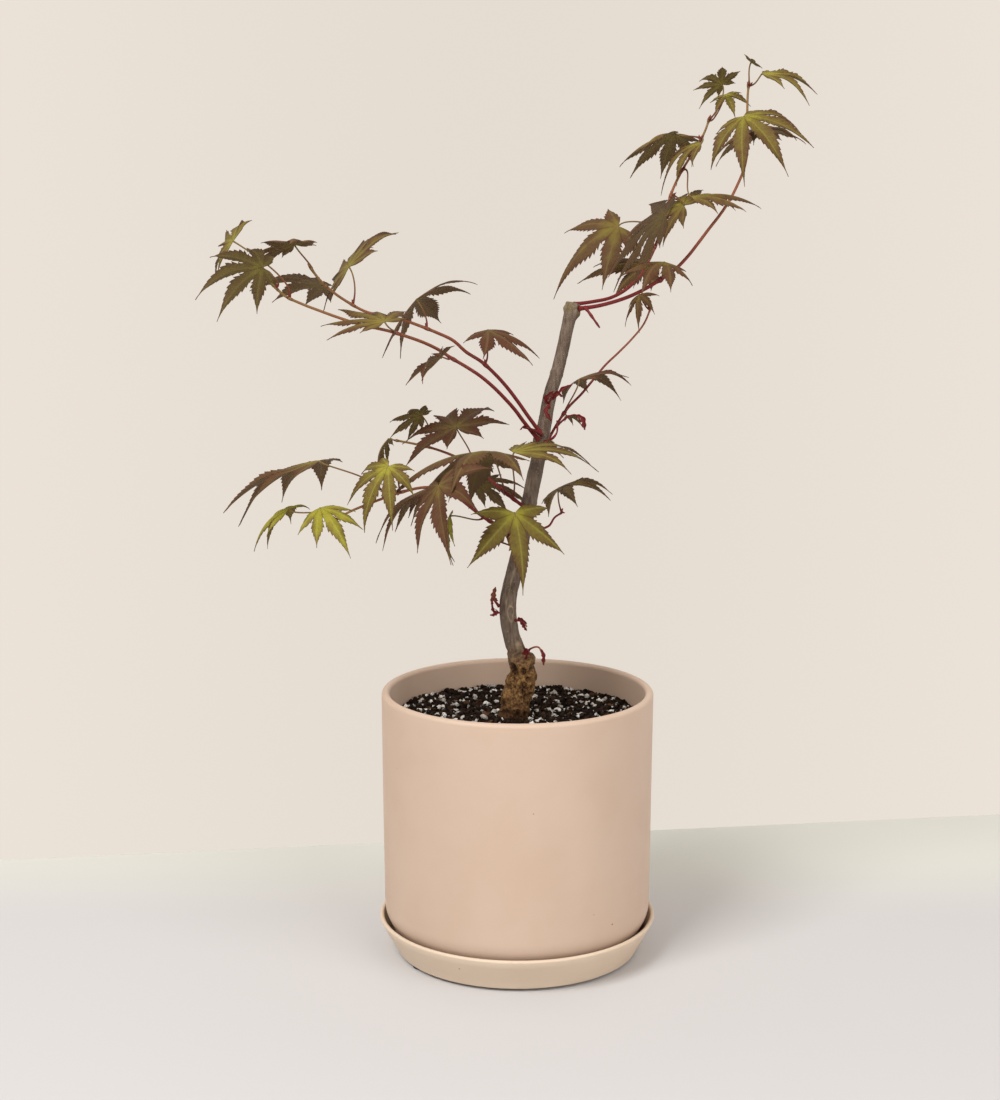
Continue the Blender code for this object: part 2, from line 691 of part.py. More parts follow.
def make_tree():
    """The trunk, its shoots and their leaves."""
    make_trunk()
    red_wood = material("young_wood", (0.25, 0.035, 0.03), 0.55)
    green = material("maple_leaf", (0.20, 0.15, 0.06), 0.6)
    for shoot in SHOOTS:
        make_shoot(shoot, red_wood)
        line = shoot_line(shoot)
        radii = np.linspace(shoot.foot_radius, shoot.tip_radius, len(line))
        stem = shoot.name.replace("shoot_", "")
        for number, leaf in enumerate(LEAVES.get(shoot.name, ()), 1):
            make_leaf(f"leaf_{stem}_{number}", leaf, line, radii, green)


for old in list(bpy.data.objects):
    bpy.data.objects.remove(old, do_unlink=True)
make_feet()
make_ceramics()
make_soil()
make_tree()
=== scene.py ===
"""Young Japanese maple bonsai in a blush pot: its looks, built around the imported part.

The finished pieces are in metres in the part's own frame: +Z up, -Y the front, the origin on
the pot's axis level with the undersides of the feet. Sizes in this file are millimetres
unless they say otherwise, and meshes are turned into metres as they are made. The tree has a
frame of its own, whose origin is on the pot's axis at the top of the soil.
"""
import logging
import math
from dataclasses import dataclass, field
from enum import Enum
from typing import Optional, Sequence, Union

import bpy
import numpy as np
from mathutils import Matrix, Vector


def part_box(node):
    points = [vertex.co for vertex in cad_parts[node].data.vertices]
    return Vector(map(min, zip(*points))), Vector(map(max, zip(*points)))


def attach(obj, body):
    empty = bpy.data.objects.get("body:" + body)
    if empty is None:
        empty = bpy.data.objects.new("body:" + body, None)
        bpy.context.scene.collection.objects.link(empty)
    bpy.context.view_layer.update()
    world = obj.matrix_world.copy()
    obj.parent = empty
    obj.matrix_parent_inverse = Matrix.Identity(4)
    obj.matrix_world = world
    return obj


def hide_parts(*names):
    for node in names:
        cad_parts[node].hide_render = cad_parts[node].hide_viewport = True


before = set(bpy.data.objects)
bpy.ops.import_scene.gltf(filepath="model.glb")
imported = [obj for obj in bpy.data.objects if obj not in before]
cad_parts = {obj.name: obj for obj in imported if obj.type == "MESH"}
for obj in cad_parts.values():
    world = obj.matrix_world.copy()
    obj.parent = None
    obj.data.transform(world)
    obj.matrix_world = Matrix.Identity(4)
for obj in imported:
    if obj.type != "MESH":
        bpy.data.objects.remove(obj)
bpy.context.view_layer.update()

LOG = logging.getLogger("bonsai")

MM = 0.001
BODY = "root"
GAP = 0.3

Array = np.ndarray
Colour = tuple[float, float, float]
Point = tuple[float, float, float]


class Slot(Enum):
    """The record's material slots."""

    CERAMIC = "blush_ceramic"
    RUBBER = "foot_rubber"
    SOIL = "potting_soil"
    BARK = "trunk_bark"
    SHOOT = "young_shoot"
    LEAF = "maple_leaf"


# ---------------------------------------------------------------- arithmetic on arrays


def smooth_step(low: float, high: float, values: Array) -> Array:
    """A ramp with eased ends, 0 at low and 1 at high: 3t^2 - 2t^3. It falls where low > high.

    Args:
        low: where the ramp is 0, which may be the larger number.
        high: where it is 1.
        values: numbers to look up.

    Returns:
        The ramp at each number.
    """
    t = np.clip((values - low) / (high - low), 0.0, 1.0)
    return t * t * (3.0 - 2.0 * t)


def unit(vectors: Array) -> Array:
    """Directions of vectors, along the last axis."""
    return vectors / np.linalg.norm(vectors, axis=-1, keepdims=True)


def smooth_line(points: Sequence[Sequence[float]], steps: int) -> Array:
    """A Catmull-Rom curve through rows of numbers.

    Between rows b and c, with neighbours a and d, it is half of
    2b + (c - a)t + (2a - 5b + 4c - d)t^2 + (3b - a - 3c + d)t^3.

    Args:
        points: the rows, of any width.
        steps: how many pieces the curve has between two rows.

    Returns:
        The rows of the curve, both ends included.
    """
    rows = np.asarray(points, float)
    rows = np.vstack([2 * rows[0] - rows[1], rows, 2 * rows[-1] - rows[-2]])
    a, b, c, d = (rows[i:len(rows) - 3 + i, None, :] for i in range(4))
    t = (np.arange(steps) / steps)[None, :, None]
    curve = 0.5 * (2 * b + (c - a) * t + (2 * a - 5 * b + 4 * c - d) * t**2
                   + (3 * b - a - 3 * c + d) * t**3)
    return np.vstack([curve.reshape(-1, rows.shape[1]), rows[-2:-1]])


def resample(line: Array, count: int) -> Array:
    """A curve with its points spread evenly along its length.

    Args:
        line: the rows of the curve.
        count: how many rows are wanted.

    Returns:
        The rows of the same curve, a step apart.
    """
    spans = np.linalg.norm(np.diff(line[:, :3], axis=0), axis=1)
    along = np.concatenate([[0.0], np.cumsum(spans)])
    wanted = np.linspace(0.0, along[-1], count)
    return np.column_stack([np.interp(wanted, along, column) for column in line.T])


def cell_number(cells: Array, seed: int) -> Array:
    """Repeatable numbers from -1 to 1, one for each whole-number cell.

    Args:
        cells: whole numbers, three to a cell.
        seed: picks another set of numbers.

    Returns:
        A number for each cell, made by mixing the bits of its three.
    """
    low = 0xFFFFFFFF
    mixed = (cells[..., 0] * 73856093) ^ (cells[..., 1] * 19349663)
    mixed = (mixed ^ (cells[..., 2] * 83492791) ^ (seed * 374761393)) & low
    mixed = ((mixed ^ (mixed >> 13)) * 1274126177) & low
    mixed = ((mixed ^ (mixed >> 15)) * 668265263) & low
    return (mixed ^ (mixed >> 16)) / low * 2.0 - 1.0


def lattice_noise(points: Array, seed: int) -> Array:
    """Smooth noise with one value to a unit cell, eased between the cell's eight corners.

    Args:
        points: places, three numbers each.
        seed: picks another pattern.

    Returns:
        Noise from -1 to 1 at each place.
    """
    cell = np.floor(points).astype(np.int64)
    ease = points - cell
    ease = ease * ease * (3.0 - 2.0 * ease)
    total = np.zeros(points.shape[:-1])
    for corner in np.ndindex(2, 2, 2):
        step = np.array(corner)
        weight = np.prod(np.where(step, ease, 1.0 - ease), axis=-1)
        total += weight * cell_number(cell + step, seed)
    return total


def fractal(points: Array, size: Union[float, Point], octaves: int, seed: int) -> Array:
    """Layers of lattice noise, each half the size and half the strength of the last.

    Args:
        points: places in millimetres.
        size: cell size of the first layer, one for all directions or one for each.
        octaves: how many layers.
        seed: picks another pattern.

    Returns:
        Noise of about -1 to 1 at each place.
    """
    scaled = points / np.asarray(size, float)
    layers = [0.5**n * lattice_noise(scaled * 2.0**n, seed + n) for n in range(octaves)]
    return sum(layers) / (2.0 - 0.5 ** (octaves - 1))


# ---------------------------------------------------------------- surfaces


@dataclass
class Surface:
    """A closed skin of triangles, with numbers on its points and a finish for each face."""

    points: Array
    faces: Array
    marks: dict[str, Array] = field(default_factory=dict)
    finish: int = 0

    def moved(self, offset: Sequence[float]) -> "Surface":
        """The same skin, shifted."""
        return Surface(self.points + np.asarray(offset, float), self.faces, self.marks, self.finish)


def triangles(quads: Array) -> Array:
    """Quads cut into two triangles each, without those that have no area."""
    cut = np.vstack([quads[:, (0, 1, 2)], quads[:, (0, 2, 3)]])
    a, b, c = cut.T
    return cut[(a != b) & (b != c) & (c != a)]


def grid_quads(rows: int, columns: int, around: bool) -> Array:
    """Quads over a grid of points that is numbered row by row.

    Args:
        rows: how many rows of points.
        columns: how many points in a row.
        around: whether each row closes on itself.

    Returns:
        Four point numbers for each quad.
    """
    row = np.arange(rows - 1)[:, None] * columns
    column = np.arange(columns if around else columns - 1)[None, :]
    after = (column + 1) % columns
    corners = (row + column, row + after, row + columns + after, row + columns + column)
    return np.stack(corners, axis=-1).reshape(-1, 4)


def capped_tube(rings: Array, marks: Optional[dict[str, Array]] = None) -> Surface:
    """A closed skin over rings of points, with a middle point closing each end.

    Args:
        rings: points by ring and by place round it, anticlockwise seen from the last ring.
        marks: numbers by ring and by place.

    Returns:
        The skin, with the end points last.
    """
    count, sides = rings.shape[:2]
    ends = rings[[0, -1]].mean(axis=1)
    first, last = count * sides, count * sides + 1
    place = np.arange(sides)
    after = (place + 1) % sides
    top = (count - 1) * sides
    faces = np.vstack([
        triangles(grid_quads(count, sides, True)),
        np.column_stack([np.full(sides, first), after, place]),
        np.column_stack([np.full(sides, last), top + place, top + after]),
    ])
    spread = {
        name: np.concatenate([values.ravel(), values[[0, -1]].mean(axis=1)])
        for name, values in (marks or {}).items()
    }
    return Surface(np.vstack([rings.reshape(-1, 3), ends]), faces, spread)


def path_frames(line: Array) -> tuple[Array, Array, Array]:
    """Directions along a path and two square to it, which turn as little as they can.

    The first side direction is carried from point to point and squared up with the path.

    Args:
        line: the path's points.

    Returns:
        The direction along, one to the side and the third one, at each point.
    """
    along = unit(np.gradient(line, axis=0))
    side = np.cross(along[0], (0.31, 0.95, 0.12))
    sides = []
    for tangent in along:
        side = side - tangent * (side @ tangent)
        side = side / np.linalg.norm(side)
        sides.append(side)
    across = np.array(sides)
    return along, across, np.cross(along, across)


def tube(line: Array, radii: Array, sides: int, marks: Optional[dict[str, Array]] = None) -> Surface:
    """A round tube along a path: centre + radius (cos turn * side + sin turn * other side).

    Args:
        line: the path's points.
        radii: the radius at each point.
        sides: points round the tube.
        marks: numbers at each point of the path.

    Returns:
        The tube with both ends closed.
    """
    _, across, other = path_frames(line)
    turns = np.linspace(0.0, math.tau, sides, endpoint=False)
    out = np.cos(turns)[None, :, None] * across[:, None] + np.sin(turns)[None, :, None] * other[:, None]
    rings = line[:, None] + radii[:, None, None] * out
    spread = {name: np.repeat(v[:, None], sides, axis=1) for name, v in (marks or {}).items()}
    return capped_tube(rings, spread)


def revolved(profile: Array, sides: int, closed: bool) -> Surface:
    """A profile of (r, z) turned about the Z axis: (r cos turn, r sin turn, z).

    Args:
        profile: points, with the solid on the left as they are followed.
        sides: steps in a whole turn.
        closed: whether the profile closes on itself; if not, its ends are on the axis.

    Returns:
        The turned skin.
    """
    turns = np.linspace(0.0, math.tau, sides, endpoint=False)
    ring = np.stack([np.cos(turns), np.sin(turns), np.zeros(sides)], axis=-1)
    rows = profile if closed else profile[1:-1]
    rings = rows[:, None, :1] * ring + np.array([0.0, 0.0, 1.0]) * rows[:, None, 1:]
    if not closed:
        skin = capped_tube(rings)
        skin.points[-2:] = [(0.0, 0.0, profile[0, 1]), (0.0, 0.0, profile[-1, 1])]
        return skin
    rings = np.concatenate([rings, rings[:1]])
    quads = grid_quads(len(rings), sides, True) % (len(rows) * sides)
    return Surface(rings[:-1].reshape(-1, 3), triangles(quads))


def thickened(points: Array, faces: Array, thickness: float, marks: dict[str, Array]) -> Surface:
    """A thin sheet made solid: two copies half a thickness along the normals, and a rim.

    Args:
        points: the sheet's points.
        faces: its triangles, anticlockwise from above.
        thickness: of the sheet.
        marks: numbers at its points; the mark "under" is added, 1 on the lower copy.

    Returns:
        The closed sheet.
    """
    a, b, c = (points[faces[:, i]] for i in range(3))
    across = np.cross(b - a, c - a)
    normals = np.zeros_like(points)
    for corner in range(3):
        np.add.at(normals, faces[:, corner], across)
    normals = unit(normals)
    count = len(points)
    edges = np.vstack([faces[:, (0, 1)], faces[:, (1, 2)], faces[:, (2, 0)]])
    _, index, uses = np.unique(np.sort(edges, axis=1), axis=0, return_index=True, return_counts=True)
    rim = edges[index[uses == 1]]
    walls = np.column_stack([rim[:, 1], rim[:, 0], rim[:, 0] + count, rim[:, 1] + count])
    skin = np.vstack([faces, faces[:, ::-1] + count, triangles(walls)])
    spread = {name: np.tile(values, 2) for name, values in marks.items()}
    spread["under"] = np.repeat([0.0, 1.0], count)
    half = 0.5 * thickness * normals
    return Surface(np.vstack([points + half, points - half]), skin, spread)


def joined(surfaces: Sequence[Surface]) -> tuple[Surface, Array]:
    """Several skins as one, each keeping its own finish.

    Args:
        surfaces: the skins.

    Returns:
        The joined skin and the finish number of each of its faces.
    """
    starts = np.cumsum([0] + [len(s.points) for s in surfaces[:-1]])
    names = sorted({name for s in surfaces for name in s.marks})
    marks = {
        name: np.concatenate([s.marks.get(name, np.zeros(len(s.points))) for s in surfaces])
        for name in names
    }
    points = np.vstack([s.points for s in surfaces])
    faces = np.vstack([s.faces + start for s, start in zip(surfaces, starts)])
    finishes = np.concatenate([np.full(len(s.faces), s.finish) for s in surfaces])
    return Surface(points, faces, marks), finishes


# ---------------------------------------------------------------- pieces


@dataclass(frozen=True)
class Piece:
    """A named piece of the model: its slot, the CAD nodes it stands for, its sharp edges."""

    name: str
    slot: Slot
    nodes: tuple[str, ...] = ()
    sharp_deg: float = 60.0

    def add(self, surfaces: Sequence[Surface], materials: Sequence[bpy.types.Material]) -> bpy.types.Object:
        """Make the piece's object and fix it to the part.

        Args:
            surfaces: the skins it is made of.
            materials: the finishes that their numbers pick from.

        Returns:
            The finished object.
        """
        whole, finishes = joined(surfaces)
        mesh = bpy.data.meshes.new(self.name)
        mesh.from_pydata(whole.points * MM, [], whole.faces)
        for name, values in whole.marks.items():
            mark = mesh.attributes.new(name, "FLOAT", "POINT")
            mark.data.foreach_set("value", np.ascontiguousarray(values, np.float32))
        for made in materials:
            mesh.materials.append(made)
        mesh.polygons.foreach_set("material_index", finishes.astype(np.int32))
        mesh.shade_smooth()
        mesh.set_sharp_from_angle(angle=math.radians(self.sharp_deg))
        mesh.update()
        thing = bpy.data.objects.new(self.name, mesh)
        bpy.context.scene.collection.objects.link(thing)
        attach(thing, BODY)
        if self.nodes:
            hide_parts(*self.nodes)
        LOG.info("%s: %d triangles", self.name, len(whole.faces))
        return thing


# ---------------------------------------------------------------- shader building


class Value:
    """A socket that carries a number; arithmetic on it adds Math nodes."""

    def __init__(self, board: "Board", socket: bpy.types.NodeSocket) -> None:
        """Keep the socket and the board that it is on."""
        self.board = board
        self.socket = socket

    def math(self, operation: str, *terms: "Number") -> "Value":
        """One Math node.

        Args:
            operation: Blender's name for it.
            terms: its inputs in order.

        Returns:
            Its result.
        """
        made = self.board.node("ShaderNodeMath", {"operation": operation}, dict(enumerate(terms)))
        return Value(self.board, made.outputs[0])

    def __add__(self, other: "Number") -> "Value":
        """Self plus other."""
        return self.math("ADD", self, other)

    __radd__ = __add__

    def __sub__(self, other: "Number") -> "Value":
        """Self minus other."""
        return self.math("SUBTRACT", self, other)

    def __rsub__(self, other: "Number") -> "Value":
        """Other minus self."""
        return self.math("SUBTRACT", other, self)

    def __mul__(self, other: "Number") -> "Value":
        """Self times other."""
        return self.math("MULTIPLY", self, other)

    __rmul__ = __mul__

    def __truediv__(self, other: "Number") -> "Value":
        """Self over other."""
        return self.math("DIVIDE", self, other)

    def __pow__(self, other: "Number") -> "Value":
        """Self to a power."""
        return self.math("POWER", self, other)

    def limited(self) -> "Value":
        """Self kept between 0 and 1."""
        return self.ramp(0.0, 1.0, eased=False)

    def ramp(self, low: float, high: float, eased: bool = True) -> "Value":
        """A ramp from 0 at low to 1 at high, which may run downwards.

        Args:
            low: where it is 0.
            high: where it is 1.
            eased: whether its ends are eased.

        Returns:
            The ramp's value.
        """
        kind = {"interpolation_type": "SMOOTHSTEP" if eased else "LINEAR", "clamp": True}
        flip = low > high
        span = (high, low, 1.0, 0.0) if flip else (low, high, 0.0, 1.0)
        inputs = dict(enumerate((self,) + span))
        made = self.board.node("ShaderNodeMapRange", kind, inputs)
        return Value(self.board, made.outputs[0])


Number = Union[float, Value]
Link = Union[float, Sequence[float], Value, bpy.types.NodeSocket]


class Board:
    """A material's node board, with one Principled shader on it."""

    def __init__(self, name: str) -> None:
        """Make the material and find its shader."""
        self.material = bpy.data.materials.new(name)
        self.material.use_nodes = True
        self.tree = self.material.node_tree
        self.shader = self.tree.nodes["Principled BSDF"]

    def node(
        self, kind: str, settings: Optional[dict] = None, inputs: Optional[dict] = None
    ) -> bpy.types.Node:
        """Add one node.

        Args:
            kind: Blender's name of its type.
            settings: its properties, set before its sockets; "stops" are a ramp's
                positions with their colours.
            inputs: values or links by socket name or number.

        Returns:
            The node.
        """
        made = self.tree.nodes.new(kind)
        for key, value in (settings or {}).items():
            if key == "stops":
                self.set_stops(made.color_ramp, value)
            else:
                setattr(made, key, value)
        for key, value in (inputs or {}).items():
            self.connect(made.inputs[key], value)
        return made

    @staticmethod
    def set_stops(ramp: bpy.types.ColorRamp, stops: Sequence[tuple[float, Colour]]) -> None:
        """Give a ramp its stops.

        Args:
            ramp: the ramp.
            stops: positions with their colours.
        """
        while len(ramp.elements) < len(stops):
            ramp.elements.new(0.5)
        for element, (position, colour) in zip(ramp.elements, stops):
            element.position = position
            element.color = (*colour, 1.0)

    def connect(self, socket: bpy.types.NodeSocket, value: Link) -> None:
        """Link or set one input.

        Args:
            socket: the input.
            value: a link, a number or a row of numbers.
        """
        if isinstance(value, Value):
            self.tree.links.new(value.socket, socket)
        elif isinstance(value, bpy.types.NodeSocket):
            self.tree.links.new(value, socket)
        elif isinstance(value, (int, float)):
            socket.default_value = value
        else:
            row = tuple(value)
            socket.default_value = (*row, 1.0) if len(socket.default_value) > len(row) else row

    def place(self, stretch: Point = (1.0, 1.0, 1.0)) -> bpy.types.NodeSocket:
        """The place on the object in metres, stretched on each axis."""
        where = self.node("ShaderNodeTexCoord").outputs["Object"]
        mapping = self.node(
            "ShaderNodeMapping", {"vector_type": "POINT"}, {"Vector": where, "Scale": stretch}
        )
        return mapping.outputs[0]

    def noise(
        self, where: bpy.types.NodeSocket, size: float, detail: float = 3.0, rough: float = 0.55
    ) -> Value:
        """Fractal noise whose largest features are about a size in millimetres.

        Args:
            where: the place to read it at.
            size: of its largest features.
            detail: layers of finer noise.
            rough: strength of each layer over the last.

        Returns:
            Its value, about 0.5 on average.
        """
        inputs = {"Vector": where, "Scale": 1.0 / (size * MM), "Detail": detail, "Roughness": rough}
        return Value(self, self.node("ShaderNodeTexNoise", None, inputs).outputs[0])

    def spots(self, where: bpy.types.NodeSocket, size: float, reach: float) -> Value:
        """Round spots, one to a cell, 1 in the middle and 0 at a share of the cell.

        Args:
            where: the place to read them at.
            size: of a cell in millimetres.
            reach: the spots' radius as a share of a cell.

        Returns:
            How far inside a spot each place is.
        """
        inputs = {"Vector": where, "Scale": 1.0 / (size * MM), "Randomness": 1.0}
        cells = self.node("ShaderNodeTexVoronoi", {"feature": "F1"}, inputs)
        return Value(self, cells.outputs["Distance"]).ramp(reach, 0.25 * reach)

    def mark(self, name: str) -> Value:
        """The numbers that the piece carries on its points under a name."""
        return Value(self, self.node("ShaderNodeAttribute", {"attribute_name": name}).outputs["Fac"])

    def mix(self, factor: Number, first: Link, second: Link, blend: str = "MIX") -> bpy.types.NodeSocket:
        """A mix of two colours.

        Args:
            factor: how much of the second.
            first: the colour at 0.
            second: the colour at 1.
            blend: how they are mixed.

        Returns:
            The mixed colour.
        """
        kind = {"data_type": "RGBA", "blend_type": blend, "clamp_factor": True}
        return self.node("ShaderNodeMix", kind, {0: factor, 6: first, 7: second}).outputs[2]

    def finish(self, colour: Link, roughness: Number, height: Optional[Value], depth: float = 0.3,
               **constants: float) -> bpy.types.Material:
        """Feed the shader.

        Args:
            colour: its base colour.
            roughness: its roughness.
            height: relief, from 0 to 1.
            depth: what a relief of 1 stands for in millimetres.
            constants: other sockets by name, with _ for a space.

        Returns:
            The material.
        """
        self.connect(self.shader.inputs["Base Color"], colour)
        self.connect(self.shader.inputs["Roughness"], roughness)
        for key, value in constants.items():
            self.shader.inputs[key.replace("_", " ")].default_value = value
        if height is not None:
            inputs = {"Height": height, "Distance": depth * MM, "Strength": 1.0}
            bump = self.node("ShaderNodeBump", None, inputs)
            self.connect(self.shader.inputs["Normal"], bump.outputs[0])
        return self.material


# ---------------------------------------------------------------- finishes


@dataclass(frozen=True)
class CeramicFinish:
    """Satin blush stoneware: a faint mottle, a fine tooth, a few tiny dark pits, and painted shade on the
    inner wall.
    """

    name: str = "blush_stoneware"
    base: Colour = (0.555, 0.415, 0.32)
    warm: Colour = (0.535, 0.392, 0.295)
    pit: Colour = (0.12, 0.07, 0.045)
    # inside: a darker, warmer brown mixed onto the inner wall as painted shade
    inside: Colour = (0.36, 0.235, 0.16)

    def material(self) -> bpy.types.Material:
        """The finish as a material."""
        board = Board(self.name)
        where = board.place()
        cloud = board.noise(where, 46.0, 3.0)
        speck = board.noise(where, 1.3, 2.0, 0.7)
        tooth = board.noise(where, 0.45, 2.0, 0.6)
        pits = board.spots(where, 19.0, 0.036)
        colour = board.mix(cloud.ramp(0.38, 0.68), self.base, self.warm)
        colour = board.mix(speck.ramp(0.66, 0.8) * 0.35, colour, self.warm)
        # painted shade: the inner wall above the floor is darkened a little
        colour = board.mix(board.mark("inside") * 0.2, colour, self.inside)
        colour = board.mix(pits, colour, self.pit)
        rough = 0.43 + 0.14 * cloud + 0.1 * tooth
        height = 0.55 * tooth + 0.35 * speck + 0.6 * board.noise(where, 12.0, 1.0) - pits * 2.0
        return board.finish(colour, rough, height, depth=0.05, Specular_IOR_Level=0.45)


@dataclass(frozen=True)
class RubberFinish:
    """Matt black rubber with a fine moulded grain and a little dust."""

    base: Colour = (0.018, 0.018, 0.02)
    dust: Colour = (0.09, 0.085, 0.08)

    def material(self) -> bpy.types.Material:
        """The finish as a material."""
        board = Board("foot_rubber_black")
        where = board.place()
        grain = board.noise(where, 0.5, 2.0)
        dust = board.noise(where, 4.0, 4.0).ramp(0.5, 0.8)
        colour = board.mix(dust * 0.5, self.base, self.dust)
        return board.finish(colour, 0.62 + 0.2 * grain, grain, depth=0.08)


@dataclass(frozen=True)
class CrumbFinish:
    """Loose grains whose colour runs between two by grain, with a dusting of a third."""

    name: str
    dark: Colour
    light: Colour
    dust: Colour
    dusting: float
    roughness: float = 0.9
    grain_mm: float = 0.7
    depth_mm: float = 0.25

    def material(self) -> bpy.types.Material:
        """The finish as a material."""
        board = Board(self.name)
        where = board.place()
        grain = board.noise(where, self.grain_mm, 3.0, 0.65)
        patch = board.noise(where, 3.1 * self.grain_mm, 2.0)
        colour = board.mix((board.mark("tint") * 0.8 + grain * 0.6 - 0.2).limited(), self.dark, self.light)
        colour = board.mix(patch.ramp(0.52, 0.72) * self.dusting, colour, self.dust)
        height = grain + 0.5 * patch
        return board.finish(colour, self.roughness, height, depth=self.depth_mm, Specular_IOR_Level=0.04)


@dataclass(frozen=True)
class BarkFinish:
    """Young maple bark: grey-brown streaks, pale lenticels, an ochre corky foot, pale scars. The foot's dark
    crevices and ochre ridges are partly its own colour, partly painted shade and highlight; near the soil it
    has painted shade.
    """

    grey: Colour = (0.21, 0.158, 0.122)
    brown: Colour = (0.062, 0.04, 0.028)
    # ochre: the foot's ridges, partly their own colour and partly painted highlight
    ochre: Colour = (0.29, 0.165, 0.06)
    umber: Colour = (0.12, 0.06, 0.024)
    # the foot's crevices: partly the bark's own dark brown, partly painted shade
    crevice_bark_and_shade: Colour = (0.028, 0.011, 0.005)
    pale: Colour = (0.42, 0.33, 0.20)
    # painted shade: the near-black brown laid on the trunk just above the soil
    damp: Colour = (0.05, 0.022, 0.01)
    wood: Colour = (0.17, 0.125, 0.045)

    def material(self) -> bpy.types.Material:
        """The finish as a material."""
        board = Board("maple_bark")
        fibres = board.place((1.0, 1.0, 0.14))
        where = board.place()
        streak = board.noise(fibres, 1.5, 4.0, 0.6)
        blotch = board.noise(where, 5.5, 4.0, 0.6)
        speck = board.noise(where, 0.7, 2.0)
        foot = board.mark("foot")
        upper = board.mix((streak * 1.9 + blotch * 0.7 - 0.8).limited(), self.brown, self.grey)
        dots = board.spots(board.place((1.0, 1.0, 1.6)), 3.4, 0.17)
        upper = board.mix(dots * 0.55, upper, self.pale)
        crumble = board.noise(where, 1.3, 3.0, 0.7)
        # the foot's colour follows its relief, dark in crevices and ochre on ridges: partly its own colour,
        # partly painted shade and highlight
        crag_shade_and_highlight = blotch * 0.9 + board.mark("relief") * 1.1 + crumble * 2.2 - 1.95
        lower = board.mix(crag_shade_and_highlight.ramp(0.0, 0.5), self.crevice_bark_and_shade, self.umber)
        lower = board.mix(crag_shade_and_highlight.ramp(0.4, 1.0), lower, self.ochre)
        # painted shade on the foot, strongest at the soil
        lower = board.mix(board.mark("damp") * 0.85, lower, self.damp)
        colour = board.mix(foot, upper, lower)
        colour = board.mix(board.mark("scar") * (0.55 + 0.5 * speck), colour, self.pale)
        colour = board.mix(board.mark("cut"), colour, board.mix(streak.ramp(0.4, 0.6), self.wood, self.grey))
        height = 0.6 * streak + 0.35 * blotch + 0.25 * speck + 0.3 * dots + foot * crumble
        return board.finish(colour, 0.76 + 0.2 * speck, height, depth=0.6, Specular_IOR_Level=0.12)


@dataclass(frozen=True)
class ShootFinish:
    """Smooth young bark: crimson at the foot, through orange-tan, to olive at the tip."""

    crimson: Colour = (0.15, 0.016, 0.015)
    tan: Colour = (0.24, 0.085, 0.04)
    olive: Colour = (0.20, 0.145, 0.045)
    dark: Colour = (0.045, 0.014, 0.012)

    def material(self) -> bpy.types.Material:
        """The finish as a material."""
        board = Board("young_maple_bark")
        where = board.place()
        streak = board.noise(where, 1.6, 3.0)
        fleck = board.spots(where, 1.5, 0.2)
        age = board.mark("age") + 0.24 * streak - 0.12
        colour = board.mix(age.ramp(0.18, 0.62), self.crimson, self.tan)
        colour = board.mix(age.ramp(0.62, 1.0), colour, self.olive)
        colour = board.mix(fleck * 0.4, colour, self.tan)
        colour = board.mix(board.mark("joint") * 0.7, colour, self.dark)
        height = streak + fleck * 0.4
        return board.finish(colour, 0.5 + 0.2 * streak, height, depth=0.12, Specular_IOR_Level=0.2)


@dataclass(frozen=True)
class LeafFinish:
    """A soft maple blade: olive or lime by its veins, bronze to rust between, dark at its edge."""

    lime: Colour = (0.27, 0.245, 0.025)
    olive: Colour = (0.15, 0.112, 0.022)
    bronze: Colour = (0.10, 0.054, 0.021)
    rust: Colour = (0.086, 0.033, 0.016)
    edge: Colour = (0.065, 0.02, 0.012)
    under: Colour = (0.16, 0.11, 0.055)
    dull_vein: Colour = (0.15, 0.09, 0.038)
    fresh_vein: Colour = (0.30, 0.28, 0.05)

    def material(self) -> bpy.types.Material:
        """The finish as a material."""
        board = Board("maple_blade")
        where = board.place()
        cloud = board.noise(where, 8.0, 3.0)
        pores = board.noise(where, 0.8, 2.0, 0.7)
        across = board.mark("across")
        along = board.mark("along")
        tone = board.mark("tone")
        rib = board.mark("rib")
        vein = board.mark("vein")
        turn = vein.math("FRACT", vein + 0.12)
        side_vein = (turn.math("ABSOLUTE", turn - 0.5)).ramp(0.36, 0.5) * across.ramp(1.0, 0.75)
        mid_vein = rib.ramp(0.75, 0.2)
        glow = rib.ramp(4.5, 0.0)
        hub = along.ramp(0.42, 0.04)
        blush = board.noise(where, 2.6, 4.0, 0.65)
        green = tone + 0.9 * cloud - 0.5 + 0.16 * glow + 0.36 * hub - 0.3 * along - 0.14 * across
        colour = board.mix(green.ramp(-0.35, 0.05), self.rust, self.bronze)
        colour = board.mix(green.ramp(0.05, 0.5), colour, self.olive)
        colour = board.mix(green.ramp(0.5, 1.0), colour, self.lime)
        colour = board.mix(blush.ramp(0.48, 0.78) * 0.45, colour, self.edge)
        veins = (mid_vein * 0.5 + side_vein * 0.28).limited()
        fresh = board.mix(tone.ramp(0.1, 0.8), self.dull_vein, self.fresh_vein)
        colour = board.mix(veins, colour, fresh)
        colour = board.mix(across.ramp(0.72, 1.0) * 0.6, colour, self.edge)
        colour = board.mix(along.ramp(0.7, 1.0) * 0.5, colour, self.edge)
        colour = board.mix(board.mark("under") * 0.45, colour, self.under)
        height = veins * -0.8 + 0.04 * pores + 0.25 * cloud
        return board.finish(colour, 0.6 + 0.15 * pores, height, depth=0.09, Specular_IOR_Level=0.14)


